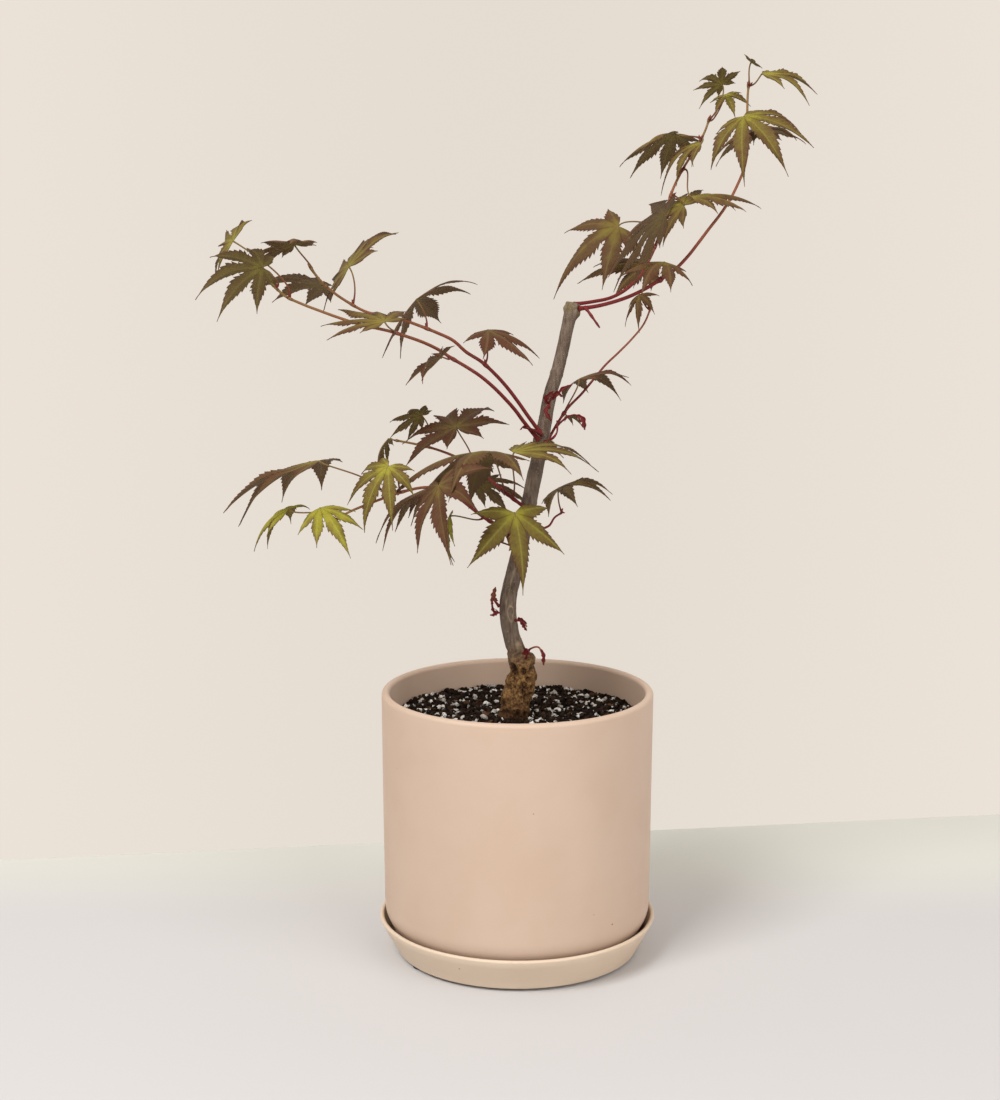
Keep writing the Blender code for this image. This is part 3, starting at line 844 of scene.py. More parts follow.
@dataclass(frozen=True)
class StalkFinish:
    """A thin leaf stalk, red where it leaves the shoot and olive where it meets the blade."""

    red: Colour = (0.13, 0.022, 0.016)
    olive: Colour = (0.17, 0.11, 0.035)

    def material(self) -> bpy.types.Material:
        """The finish as a material."""
        board = Board("maple_stalk")
        streak = board.noise(board.place(), 2.0, 3.0)
        share = board.mark("along") + 0.3 * streak - 0.15 + 0.3 * board.mark("tone")
        colour = board.mix(share.ramp(0.1, 0.95), self.red, self.olive)
        return board.finish(colour, 0.5 + 0.15 * streak, streak, depth=0.08, Specular_IOR_Level=0.2)


@dataclass(frozen=True)
class FloorFinish:
    """A pale matt table top, a little warmer and paler along its far edge, where a painted reflection of the
    wall lies.
    """

    near: Colour = (0.56, 0.553, 0.56)
    # far: the band along the far edge, a painted reflection of the wall
    far: Colour = (0.635, 0.64, 0.595)

    def material(self) -> bpy.types.Material:
        """The finish as a material."""
        board = Board("pale_table")
        where = board.node("ShaderNodeTexCoord").outputs["Object"]
        depth = Value(board, board.node("ShaderNodeSeparateXYZ", None, {0: where}).outputs[1])
        # painted reflection of the wall, fading in towards the far edge
        colour = board.mix(depth.ramp(0.03, 0.16), self.near, self.far)
        return board.finish(colour, 0.75, None)


# ---------------------------------------------------------------- pot, saucer, feet


def arc(
    centre_r: float, centre_z: float, radius: float, start_deg: float, end_deg: float, steps: int
) -> Array:
    """Points (r, z) on an arc: centre + radius (cos turn, sin turn).

    Args:
        centre_r: the centre's distance from the axis.
        centre_z: its height.
        radius: of the arc.
        start_deg: the turn it starts at.
        end_deg: the turn it ends at.
        steps: how many pieces it has.

    Returns:
        The points, both ends included.
    """
    turns = np.radians(np.linspace(start_deg, end_deg, steps + 1))
    return np.column_stack([centre_r + radius * np.cos(turns), centre_z + radius * np.sin(turns)])


def evened(profile: Array, step: float) -> Array:
    """A profile with its long runs cut into pieces no longer than a step."""
    spans = np.linalg.norm(np.diff(profile, axis=0), axis=1)
    pieces = np.maximum(1, np.ceil(spans / step).astype(int))
    places = np.concatenate([i + np.arange(n) / n for i, n in enumerate(pieces)] + [[len(spans)]])
    index = np.arange(len(profile))
    return np.column_stack([np.interp(places, index, column) for column in profile.T])


@dataclass
class Ceramics:
    """The pot and the saucer it stands in, turned in blush stoneware, on rubber feet."""

    foot_height: float = 1.4
    foot_radius: float = 6.0
    rim_radius: float = 75.0
    wall_taper: float = 0.8
    height: float = 142.0
    wall: float = 4.5
    floor: float = 6.5
    shoulder: float = 22.0
    corner: float = 15.0
    drain_radius: float = 6.0
    saucer_rim: float = 77.2
    saucer_base: float = 68.0
    saucer_height: float = 19.3
    saucer_wall: float = 2.5
    saucer_floor: float = 5.0
    saucer_corner: float = 5.0
    sides: int = 192
    unevenness: float = 0.12

    @property
    def saucer_bottom(self) -> float:
        """Height of the saucer's underside."""
        return self.foot_height + GAP

    @property
    def bottom(self) -> float:
        """Height of the pot's underside."""
        return self.saucer_bottom + self.saucer_floor + GAP

    @property
    def top(self) -> float:
        """Height of the pot's rim."""
        return self.bottom + self.height

    def inner_radius(self, height: float) -> float:
        """Inner radius of the wall at a height above its rounded corner."""
        return self.rim_radius - self.wall - self.wall_taper * (self.top - height) / self.height

    def pot_profile(self) -> Array:
        """Closed profile of the pot: base, round shoulder, wall, lip, inside, drain hole."""
        lip = self.wall / 2
        foot = self.rim_radius - self.wall_taper
        floor = self.bottom + self.floor
        corner_z = floor + self.corner
        corner_r = self.inner_radius(corner_z) - self.corner
        return np.vstack([
            [(self.drain_radius, floor - 0.6), (self.drain_radius, self.bottom + 0.6),
             (self.drain_radius + 0.6, self.bottom)],
            arc(foot - self.shoulder, self.bottom + self.shoulder, self.shoulder, -90, 0, 28),
            arc(self.rim_radius - lip, self.top - lip, lip, 0, 180, 20),
            arc(corner_r, corner_z, self.corner, 0, -90, 16),
            [(self.drain_radius + 0.6, floor), (self.drain_radius, floor - 0.6)],
        ])

    def saucer_profile(self) -> Array:
        """Open profile of the saucer: underside, sloping wall, round lip, inner wall, floor."""
        low = self.saucer_bottom
        top = low + self.saucer_height
        lip = self.saucer_wall / 2
        slope = (self.saucer_rim - self.saucer_base) / self.saucer_height
        inner = self.saucer_base - self.saucer_wall + slope * (self.saucer_floor + self.saucer_corner)
        return np.vstack([
            [(0.0, low), (self.saucer_base - 0.8, low)],
            arc(self.saucer_base - 0.8, low + 0.8, 0.8, -80, -10, 4),
            arc(self.saucer_rim - lip, top - lip, lip, 0, 180, 16),
            arc(inner - self.saucer_corner, low + self.saucer_floor + self.saucer_corner,
                self.saucer_corner, 0, -90, 10),
            [(0.0, low + self.saucer_floor)],
        ])

    def fired(self, skin: Surface, seed: int) -> Surface:
        """A turned skin, pushed in and out a little as firing leaves it.

        Each point moves away from the axis by the unevenness times slow noise.

        Args:
            skin: the turned skin.
            seed: picks the unevenness.

        Returns:
            The same skin, slightly uneven.
        """
        slow = fractal(skin.points, 38.0, 2, seed)
        reach = np.hypot(skin.points[:, 0], skin.points[:, 1])
        push = 1.0 + self.unevenness * slow / np.maximum(reach, 20.0)
        skin.points[:, :2] *= push[:, None]
        return skin

    def foot(self) -> Surface:
        """One rubber foot about the axis: flat below and on top, its edges rounded and its side slightly
        tapered.
        """
        soft = 0.45
        profile = np.vstack([
            [(0.0, 0.0)],
            arc(self.foot_radius - soft, soft, soft, -90, 0, 6),
            arc(self.foot_radius - 0.6 - soft, self.foot_height - soft, soft, 0, 90, 6),
            [(0.0, self.foot_height)],
        ])
        return revolved(profile, 48, False)

    def build(self) -> None:
        """Make the pot, the saucer and the feet, and dress them."""
        stoneware = CeramicFinish().material()
        pot = revolved(evened(self.pot_profile(), 5.0)[:-1], self.sides, True)
        reach, inner = np.hypot(pot.points[:, 0], pot.points[:, 1]), self.rim_radius - self.wall
        above = smooth_step(self.bottom + 0.5 * self.floor, self.bottom + self.floor, pot.points[:, 2])
        # the inner wall above the floor, which the finish darkens as painted shade
        pot.marks["inside"] = above * smooth_step(inner + 1.2, inner, reach)
        Piece("pot_stoneware", Slot.CERAMIC, ("pot",)).add([self.fired(pot, 11)], [stoneware])
        paler = CeramicFinish("pale_stoneware", (0.64, 0.515, 0.395), (0.62, 0.49, 0.37)).material()
        saucer = revolved(evened(self.saucer_profile(), 5.0), self.sides, False)
        Piece("saucer_stoneware", Slot.CERAMIC, ("saucer",)).add([self.fired(saucer, 23)], [paler])
        rubber = RubberFinish().material()
        for number in (1, 2, 3):
            low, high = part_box(f"saucer_foot_{number}")
            centre = (low + high) / 2 / MM
            foot = self.foot().moved((centre.x, centre.y, 0.0))
            Piece(f"foot_{number}_rubber", Slot.RUBBER, (f"saucer_foot_{number}",)).add([foot], [rubber])


# ---------------------------------------------------------------- trunk


@dataclass(frozen=True)
class Knob:
    """A swelling on the trunk: height, azimuth in degrees, how far it stands out, width."""

    height: float
    azimuth: float
    stands_out: float
    width: float


@dataclass
class Trunk:
    """The trunk, from its buried crown through its knobbly foot to its pruned top."""

    crown_depth: float = 32.0
    crown_radius: float = 8.2
    crown_shape: tuple = ((1.0, 0.35), (0.8, 0.75), (0.4, 1.0))
    route: tuple = (
        (-2, -9, 0, 7.4), (-1, -9, 12, 7.0), (3, -10, 26, 6.5), (0, -10, 37, 5.0),
        (-3, -9, 46, 4.6), (-5, -9, 57, 4.6), (-5, -8, 68, 4.5), (-2, -6, 82, 4.3),
        (2, -4, 99, 4.2), (7, -1, 124, 4.1), (13, 3, 153, 3.8), (17, 6, 175, 3.6),
        (23, 9, 196, 3.4), (27, 11, 215, 3.4), (30, 13, 226, 3.7),
    )
    knobs: tuple[Knob, ...] = (
        Knob(34, -20, 3.6, 5.0), Knob(21, 170, 1.5, 6.0), Knob(8, -70, 1.3, 7.0),
        Knob(4, 35, 1.6, 7.0), Knob(14, -150, 1.2, 6.0), Knob(153, 150, 1.2, 5.0),
        Knob(222, -10, 1.5, 3.6), Knob(223, 150, 1.0, 2.6), Knob(219, -100, 0.9, 2.4),
    )
    joints: tuple[float, ...] = (96.0, 120.0, 157.0, 189.0)
    sides: int = 128
    steps: int = 22

    def line(self, steps: int = 3) -> Array:
        """Rows (x, y, z, radius) of the centre line, buried crown included."""
        x, y = self.route[0][:2]
        crown = [(x, y, -d * self.crown_depth, r * self.crown_radius) for d, r in self.crown_shape]
        return smooth_line(crown + list(self.route), steps)

    def skin(self) -> Surface:
        """The trunk's skin with its bark.

        A point is centre + outwards * (radius + knobs + corky crags at the foot + long fibres
        + lenticels + rings at old joints + a callus at the top). The top is then closed with
        rings that shrink into a hollowed cut.

        Returns:
            The skin, marked with foot, relief, scar, cut and, near the soil, painted shade.
        """
        line = self.line(self.steps)
        centres, radii = line[:, :3], line[:, 3]
        along = unit(np.gradient(centres, axis=0))
        across = unit(np.cross(along, (0.0, 1.0, 0.0)))
        deep = np.cross(along, across)
        turns = np.linspace(0.0, math.tau, self.sides, endpoint=False)
        out = np.cos(turns)[None, :, None] * -across[:, None] + np.sin(turns)[None, :, None] * deep[:, None]
        azimuth = np.arctan2(out[..., 1], out[..., 0])
        height = np.repeat(centres[:, 2:3], self.sides, axis=1)
        reach = np.repeat(radii[:, None], self.sides, axis=1)
        smooth = centres[:, None] + out * reach[..., None]
        for knob in self.knobs:
            turn = np.angle(np.exp(1j * (azimuth - math.radians(knob.azimuth))))
            apart = np.hypot(height - knob.height, turn * radii[:, None])
            reach = reach + knob.stands_out * np.exp(-2.0 * (apart / knob.width) ** 2)
        foot = smooth_step(46.0, 30.0, height + 7.0 * fractal(smooth, 9.0, 2, 5))
        crags = np.abs(fractal(smooth, (3.6, 3.6, 5.0), 4, 31))
        relief = 1.0 - 2.2 * crags
        fibres = fractal(smooth, (1.3, 1.3, 15.0), 3, 47)
        dots = np.maximum(lattice_noise(smooth / np.array([1.5, 1.5, 1.0]), 71) - 0.55, 0.0)
        rings = sum(np.exp(-((height - joint) / 0.8) ** 2) for joint in self.joints)
        callus = smooth_step(219.0, 224.5, height)
        reach = reach + foot * (2.4 * relief + 1.0 * fractal(smooth, 7.0, 2, 83) - 1.3)
        reach = reach + (1.0 - foot) * (0.26 * fibres + 0.5 * dots + 0.3 * rings)
        reach = reach + callus * (0.2 + 0.9 * fractal(smooth, 2.6, 3, 97))
        rows = centres[:, None] + out * reach[..., None]
        # relief, 1 on the foot's ridges and 0 in its crevices, also colours the foot, partly as painted
        # shade and highlight
        marks = {"foot": foot, "relief": 0.5 + 0.5 * np.clip(relief, -1.0, 1.0),
                 "scar": self.scars(azimuth, height, fractal(smooth, 2.6, 3, 53)), "cut": 0.7 * callus,
                 # painted shade on the foot, from 20 mm above the soil top, strongest by the soil
                 "damp": smooth_step(20.0, 1.0, height)}
        closing = ((0.96, 0.5), (0.86, 0.75), (0.74, 0.45), (0.66, -0.4), (0.5, -0.9), (0.25, -1.1))
        top, axis = rows[-1], centres[-1]
        lids = [axis + (top - axis) * share + along[-1] * rise for share, rise in closing]
        cut = [np.full(self.sides, value) for value in (0.2, 0.3, 0.8, 1.0, 1.0, 1.0)]
        for name, values in marks.items():
            more = cut if name == "cut" else [values[-1]] * len(closing)
            marks[name] = np.vstack([values, more])
        return capped_tube(np.concatenate([rows, lids]), marks)

    @staticmethod
    def scars(azimuth: Array, height: Array, waver: Array) -> Array:
        """Pale scars: a loop low on the front with a seam above it, and a bare ochre patch.

        Args:
            azimuth: of each point round the trunk.
            height: of each point.
            waver: noise that makes the scars' edges ragged.

        Returns:
            How strong the scar is at each point.
        """
        aside = 4.6 * np.angle(np.exp(1j * (azimuth - math.radians(-82.0))))
        loop = np.hypot((aside - 0.9) / 1.7, (height - 61.0) / 4.4) + 0.55 * waver
        seam = np.exp(-((aside + 1.2 - 0.04 * (height - 70.0) + 1.1 * waver) / 0.4) ** 2)
        seam = seam * smooth_step(62.0, 66.0, height) * smooth_step(101.0, 92.0, height)
        patch = np.exp(-(((aside - 1.6) / 1.7) ** 2 + ((height - 41.5) / 3.6) ** 2) ** 2)
        ragged = 0.6 + 0.8 * waver
        strength = 0.8 * np.exp(-((loop - 1.0) / 0.2) ** 2) + 0.6 * seam + 0.6 * patch
        return np.clip(strength * ragged, 0.0, 1.0)

    def build(self, lift: float) -> None:
        """Make the trunk and dress it.

        Args:
            lift: height of the soil's top.
        """
        skin = self.skin().moved((0.0, 0.0, lift))
        Piece("trunk_wood", Slot.BARK, ("trunk",)).add([skin], [BarkFinish().material()])


# ---------------------------------------------------------------- soil


@dataclass(frozen=True)
class Crumb:
    """A kind of loose grain: how many, its sizes, how flat it is and how deep it lies."""

    name: str
    count: int
    small: float
    large: float
    flatness: float
    lumpiness: float
    sunk: float
    seed: int
    finish: CrumbFinish


@dataclass
class Soil:
    """Peaty potting soil: a lumpy bed with peat crumbs, bark chips and white perlite on it."""

    ceramics: Ceramics
    trunk: Trunk
    below_rim: float = 15.5
    lump: float = 0.9
    mound: float = 2.5
    mound_width: float = 26.0
    grid: int = 230
    peat: CrumbFinish = CrumbFinish(
        "peat", (0.004, 0.0025, 0.002), (0.026, 0.016, 0.011), (0.06, 0.042, 0.03), 0.3)
    crumbs: tuple[Crumb, ...] = (
        Crumb("peat_crumbs", 3600, 0.8, 3.0, 0.75, 0.3, 0.25, 301, CrumbFinish(
            "peat_crumb", (0.004, 0.0025, 0.002), (0.032, 0.019, 0.013), (0.07, 0.048, 0.034), 0.3)),
        Crumb("bark_chips", 180, 1.6, 4.6, 0.35, 0.3, 0.15, 302, CrumbFinish(
            "bark_chip", (0.022, 0.01, 0.006), (0.10, 0.052, 0.028), (0.018, 0.011, 0.008), 0.6)),
        Crumb("perlite", 560, 1.0, 3.8, 0.8, 0.28, 0.3, 303, CrumbFinish(
            "perlite_grain", (0.30, 0.27, 0.24), (0.78, 0.75, 0.70), (0.08, 0.058, 0.045), 0.75,
            roughness=0.85, grain_mm=0.5)),
    )

    @property
    def top(self) -> float:
        """Height of the level that the soil's lumps are measured from."""
        return self.ceramics.top - self.below_rim

    def height(self, x: Array, y: Array) -> Array:
        """Height over the top level: a low mound at the trunk and slow lumps.

        Args:
            x: places across.
            y: places in depth.

        Returns:
            mound * exp(-(distance / width)^2) + lump * waves.
        """
        foot_x, foot_y = self.trunk.route[0][:2]
        apart = np.hypot(x - foot_x, y - foot_y)
        mound = self.mound * np.exp(-(apart / self.mound_width) ** 2)
        lumps = np.sin(0.21 * x + 0.4) * np.cos(0.17 * y) + 0.6 * np.sin(0.33 * y - 0.25 * x)
        return mound + self.lump * lumps / 1.6

    def bed(self) -> Surface:
        """The bed as a closed block.

        A square grid (u, v) is laid on the disc at radius * (u sqrt(1 - v^2/2),
        v sqrt(1 - u^2/2)); its top is the soil's height with grainy noise, its underside
        follows the pot's rounded corner.

        Returns:
            The block's skin.
        """
        edge = self.ceramics.inner_radius(self.top) - GAP
        step = np.linspace(-1.0, 1.0, self.grid)
        u, v = np.meshgrid(step, step)
        x = edge * u * np.sqrt(1.0 - v * v / 2.0)
        y = edge * v * np.sqrt(1.0 - u * u / 2.0)
        spots = np.stack([x, y, np.zeros_like(x)], axis=-1)
        grainy = 1.3 * fractal(spots, 4.0, 4, 131) + 0.5 * np.abs(fractal(spots, 1.6, 2, 137))
        top = self.top + self.height(x, y) + grainy - 0.6
        corner = self.ceramics.corner
        inside = self.ceramics.bottom + self.ceramics.floor + GAP
        slope = np.clip((np.hypot(x, y) - (edge - corner)) / corner, 0.0, 1.0)
        low = inside + corner * (1.0 - np.sqrt(1.0 - np.minimum(slope, 0.999) ** 2))
        upper = np.stack([x, y, top], axis=-1).reshape(-1, 3)
        lower = np.stack([x, y, low], axis=-1).reshape(-1, 3)
        count = self.grid * self.grid
        quads = triangles(grid_quads(self.grid, self.grid, False))
        index = np.arange(count).reshape(self.grid, self.grid)
        rim = np.concatenate([index[0, :-1], index[:-1, -1], index[-1, :0:-1], index[:0:-1, 0]])
        after = np.roll(rim, -1)
        walls = triangles(np.column_stack([after, rim, rim + count, after + count]))
        faces = np.vstack([quads, quads[:, ::-1] + count, walls])
        tint = np.tile(0.5 + 0.5 * fractal(spots, 2.2, 2, 149).ravel(), 2)
        return Surface(np.vstack([upper, lower]), faces, {"tint": tint})

    @staticmethod
    def grain() -> tuple[Array, Array]:
        """A round grain of 26 points: the skin of a 3 x 3 x 3 block, pushed out to a ball."""
        steps = np.array([-1.0, 0.0, 1.0])
        block = np.stack(np.meshgrid(steps, steps, steps, indexing="ij"), axis=-1)
        number = np.full((3, 3, 3), -1)
        shell = np.abs(block).max(axis=-1) > 0.5
        number[shell] = np.arange(shell.sum())
        faces = []
        for axis in range(3):
            for end, flip in ((0, True), (2, False)):
                side = np.moveaxis(number, axis, 0)[end]
                quad = np.stack([side[:-1, :-1], side[1:, :-1], side[1:, 1:], side[:-1, 1:]], axis=-1)
                quad = quad.reshape(-1, 4)
                faces.append(quad[:, ::-1] if flip != (axis == 1) else quad)
        return unit(block[shell]), triangles(np.vstack(faces))

    def scattered(self, crumb: Crumb) -> Surface:
        """Grains of one kind strewn over the bed.

        Each grain is the round one, stretched, made lumpy by noise, turned at random and set
        at place + turn * (size * shape).

        Args:
            crumb: the kind of grain.

        Returns:
            All of them as one skin.
        """
        rng = np.random.default_rng(crumb.seed)
        ball, faces = self.grain()
        edge = self.ceramics.inner_radius(self.top) - 1.2
        size = crumb.small + (crumb.large - crumb.small) * rng.random(crumb.count) ** 2.2
        reach = (edge - size / 2) * np.sqrt(rng.random(crumb.count))
        turn = math.tau * rng.random(crumb.count)
        x, y = reach * np.cos(turn), reach * np.sin(turn)
        foot_x, foot_y, _, foot_r = self.trunk.route[0]
        clear = np.hypot(x - foot_x, y - foot_y) > foot_r + size / 2
        x, y, size = x[clear], y[clear], size[clear]
        count = len(x)
        stretch = np.stack([1.0 + 0.3 * rng.random(count), 1.0 - 0.3 * rng.random(count),
                            np.full(count, crumb.flatness)], axis=-1)
        shape = ball[None] * stretch[:, None] * (0.5 * size)[:, None, None]
        lumps = lattice_noise(ball[None] * 1.7 + 19.0 * np.arange(count)[:, None, None], crumb.seed)
        shape = shape * (1.0 + crumb.lumpiness * 2.0 * lumps)[..., None]
        tilt = rng.normal(0.0, 0.35, (count, 2))
        spin = math.tau * rng.random(count)
        turned = self.turned(shape, spin, tilt)
        floor = self.top + self.height(x, y) + size * crumb.flatness * (0.5 - crumb.sunk) + 0.2
        places = np.stack([x, y, floor], axis=-1)
        points = (turned + places[:, None]).reshape(-1, 3)
        numbered = (faces[None] + len(ball) * np.arange(count)[:, None, None]).reshape(-1, 3)
        return Surface(points, numbered, {"tint": np.repeat(rng.random(count), len(ball))})

    @staticmethod
    def turned(shapes: Array, spin: Array, tilt: Array) -> Array:
        """Shapes turned about the vertical, then tipped about both level axes.

        Args:
            shapes: points by shape.
            spin: turn of each shape about the vertical, in radians.
            tilt: its two tips.

        Returns:
            The turned points.
        """
        x, y, z = np.moveaxis(shapes, -1, 0)
        spin = spin[:, None]
        x, y = x * np.cos(spin) - y * np.sin(spin), x * np.sin(spin) + y * np.cos(spin)
        first, second = tilt[:, :1], tilt[:, 1:]
        y, z = y * np.cos(first) - z * np.sin(first), y * np.sin(first) + z * np.cos(first)
        x, z = x * np.cos(second) + z * np.sin(second), z * np.cos(second) - x * np.sin(second)
        return np.stack([x, y, z], axis=-1)

    def build(self) -> None:
        """Make the bed and its loose grains, and dress them."""
        Piece("soil_bed", Slot.SOIL, ("soil",)).add([self.bed()], [self.peat.material()])
        for crumb in self.crumbs:
            grains = Piece(crumb.name, Slot.SOIL, sharp_deg=75.0)
            grains.add([self.scattered(crumb)], [crumb.finish.material()])


# ---------------------------------------------------------------- shoots and leaves


@dataclass(frozen=True)
class Leaf:
    """A palmate leaf on a stalk.

    at: place along the shoot, from 0 at its foot to 1 at its tip.
    stalk: from that place to the base of the blade.
    heading, dip, roll: degrees; where the middle lobe points, how far it points below
    level, and how far the blade is rolled about it.
    length: of the middle lobe; droop: degrees that it bends down towards its tip.
    lobes: how many it has; spread: degrees between one lobe and the next.
    tone: -0.3 for rust, 0 for bronze, 0.5 for olive, 1 for lime.
    """

    at: float
    stalk: Point
    heading: float
    dip: float
    roll: float
    length: float
    droop: float
    lobes: int
    spread: float
    tone: float = 0.35

    def directions(self) -> tuple[Array, Array, Array]:
        """Directions along the middle lobe, to its left, and out of the blade's face."""
        heading, dip, roll = (math.radians(a) for a in (self.heading, self.dip, self.roll))
        along = np.array([math.cos(heading) * math.cos(dip), math.sin(heading) * math.cos(dip),
                          -math.sin(dip)])
        level = np.array([-math.sin(heading), math.cos(heading), 0.0])
        face = np.cross(along, level)
        return (along, level * math.cos(roll) + face * math.sin(roll),
                face * math.cos(roll) - level * math.sin(roll))


@dataclass(frozen=True)
class Shoot:
    """A young shoot: its route from the trunk, its radii, its leaves and its colour's run."""

    name: str
    route: tuple
    foot_radius: float
    tip_radius: float
    leaves: tuple[Leaf, ...] = ()
    ripeness: tuple[float, float] = (0.0, 0.9)


@dataclass
class Blade:
    """The shape of every maple leaf: palm, lobes, teeth, folds, as shares of its length."""

    thickness: float = 0.3
    palm_radius: float = 0.25
    heel_radius: float = 0.1125
    heel_deg: float = 26.0
    half_width: float = 0.122
    clearance: float = 0.94
    fall_deg: float = 6.0
    tooth_pitch: float = 2.5
    tooth_depth: float = 0.25
    palm_rows: int = 5
    columns: int = 6
    widest: tuple[float, float] = (0.9, 1.8)
    side_lobes: dict = field(default_factory=lambda: {
        7: (0.92, 0.74, 0.40), 5: (0.86, 0.56), 3: (0.75,)})

    def lobe_list(self, leaf: Leaf) -> list[tuple[float, float, int]]:
        """Each lobe's angle, its reach and its number, from left to right."""
        shares = self.side_lobes[leaf.lobes]
        numbers = range(len(shares), -len(shares) - 1, -1)
        return [
            (math.radians(n * leaf.spread), leaf.length * (shares[abs(n) - 1] if n else 1.0), n)
            for n in numbers
        ]

    def half_lobe(self, leaf: Leaf, reach: float, side: int, outer: bool) -> dict[str, Array]:
        """One half of a lobe, from its midrib to its toothed edge, laid flat.

        Rows run from the midrib forward to the edge, as the side veins do. Up to the notch
        the edge is the line halfway to the next lobe, at radius * (cos, sin) of half the
        spread. Past the notch its half width is the notch's own width fading out as
        (1 - x)^3 plus the greatest width times x^a (1 - x)^b, scaled to 1 at its peak, and
        each tooth cuts it back by the tooth's depth and lets it out again.

        Args:
            leaf: the leaf.
            reach: the lobe's length.
            side: 1 for the left half, -1 for the right.
            outer: whether the heel of the leaf is on this side, not another lobe.

        Returns:
            Arrays by row and column: p along the midrib, q across, and the marks.
        """
        half_spread = math.radians(leaf.spread) / 2
        root = self.palm_radius * leaf.length * math.cos(half_spread)
        notch_r = (self.heel_radius if outer else self.palm_radius) * leaf.length
        notch_a = math.radians(self.heel_deg) if outer else half_spread
        teeth = int(np.clip(round((reach - root) / self.tooth_pitch), 3, 15))
        phases = np.array([0.0, 0.5, 0.88])
        counts = (np.arange(teeth)[:, None] + phases[None]).ravel()[1:]
        u = np.concatenate([counts / teeth, [1.0]])
        phase = np.concatenate([np.tile(phases, teeth)[1:], [0.0]])
        palm = np.linspace(0.0, 1.0, self.palm_rows + 1)
        rib_start = 0.62 * root
        rib = np.concatenate([rib_start * palm, rib_start + (reach - rib_start) * u])
        forward = u + 0.085 * np.sin(math.pi * u)
        start, width = notch_r * math.cos(notch_a), notch_r * math.sin(notch_a)
        edge_p = start + (reach - start) * forward
        edge_p = edge_p + 0.3 * (phase - 0.4) * (reach - root) / teeth * (u < 1.0)
        a, b = self.widest
        x = np.clip((edge_p - start) / (reach - start), 0.0, 1.0)
        peak = (a / (a + b)) ** a * (b / (a + b)) ** b
        smooth = width * (1.0 - x) ** 3 + self.half_width * reach * x**a * (1.0 - x) ** b / peak
        if not outer:
            smooth = np.minimum(smooth, self.clearance * edge_p * math.tan(half_spread))
        toothed = smooth * (1.0 - self.tooth_depth * (1.0 - phase / 0.88)) * (u < 1.0)
        inner = np.linspace(0.0, 0.72, self.columns)
        share = np.concatenate([inner, [1.0]])
        full_p = np.concatenate([palm * start, edge_p])[:, None]
        full_q = np.concatenate([palm * width, smooth])[:, None]
        last_q = np.concatenate([palm * width, toothed])[:, None]
        p = rib[:, None] + (full_p - rib[:, None]) * share
        q = np.hstack([full_q * inner, last_q])
        rows = np.concatenate([np.zeros(len(palm)), counts, [teeth]])
        return {
            "p": p,
            "q": side * q,
            "across": np.broadcast_to(share, p.shape),
            "along": p / reach,
            "rib": np.abs(q),
            "vein": np.broadcast_to(rows[:, None], p.shape),
            "free": smooth_step(0.0, 0.25 * reach, p - root),
        }

    def flat(self, leaf: Leaf, rng: np.random.Generator) -> tuple[Array, Array, dict[str, Array]]:
        """The whole blade laid flat, its lobes sewn together along the palm.

        Each lobe folds along its midrib, more so past the palm, where it also bends
        sideways and down by a share of (distance past the palm)^2 / reach, twists about its
        midrib and hangs by its own weight; its edge ruffles.

        Args:
            leaf: the leaf.
            rng: where its irregularity comes from.

        Returns:
            Polar rows (radius, angle, lift, hang), triangles, and marks.
        """
        lobes = self.lobe_list(leaf)
        root = self.palm_radius * leaf.length
        fold = rng.uniform(-0.34, 0.34)
        parts, faces, start = [], [], 0
        for angle, reach, number in lobes:
            reach = reach * rng.uniform(0.88, 1.04)
            swerve, sag, shift = rng.uniform(-0.16, 0.16), rng.uniform(-0.08, 0.22), rng.uniform(0, 6)
            weight = rng.uniform(0.05, 0.42)
            keel, twist = math.copysign(rng.uniform(0.0, 0.4), fold), rng.uniform(-0.4, 0.4)
            for side in (1, -1):
                outer = number == side * (len(lobes) // 2)
                half = self.half_lobe(leaf, reach, side, outer)
                past = np.maximum(half["p"] - root, 0.0) ** 2 / reach
                q = half["q"] + swerve * past
                wave = np.sin(math.tau * 2.2 * half["along"] + shift + side)
                quilt = np.sin(math.pi * half["vein"]) ** 2 * half["across"] * (1.0 - half["across"])
                turned = twist * half["q"] * np.maximum(half["p"] - root, 0.0) / reach
                lift = ((fold + keel * half["free"]) * half["rib"] - sag * past + turned + 0.3 * quilt
                        + 0.045 * half["rib"].max() * wave * half["across"] ** 2 * half["free"])
                rows, columns = q.shape
                quads = grid_quads(rows, columns, False) + start
                faces.append(quads[:, ::-1] if side > 0 else quads)
                start += q.size
                radius = np.hypot(half["p"], q)
                turn = angle + np.arctan2(q, np.maximum(half["p"], 1e-9))
                parts.append(np.stack([radius, turn, lift, weight * past, half["across"], half["along"],
                                       half["rib"], half["vein"]], axis=-1).reshape(-1, 8))
        rows = np.vstack(parts)
        spots = rows[:, :1] * np.column_stack([np.cos(rows[:, 1]), np.sin(rows[:, 1])])
        _, kept, number = np.unique(np.round(spots, 3), axis=0, return_index=True, return_inverse=True)
        rows = rows[kept]
        marks = {name: rows[:, 4 + i] for i, name in enumerate(("across", "along", "rib", "vein"))}
        marks["tone"] = np.full(len(rows), leaf.tone + rng.uniform(-0.06, 0.06))
        return rows[:, :4], triangles(number.ravel()[np.vstack(faces)]), marks

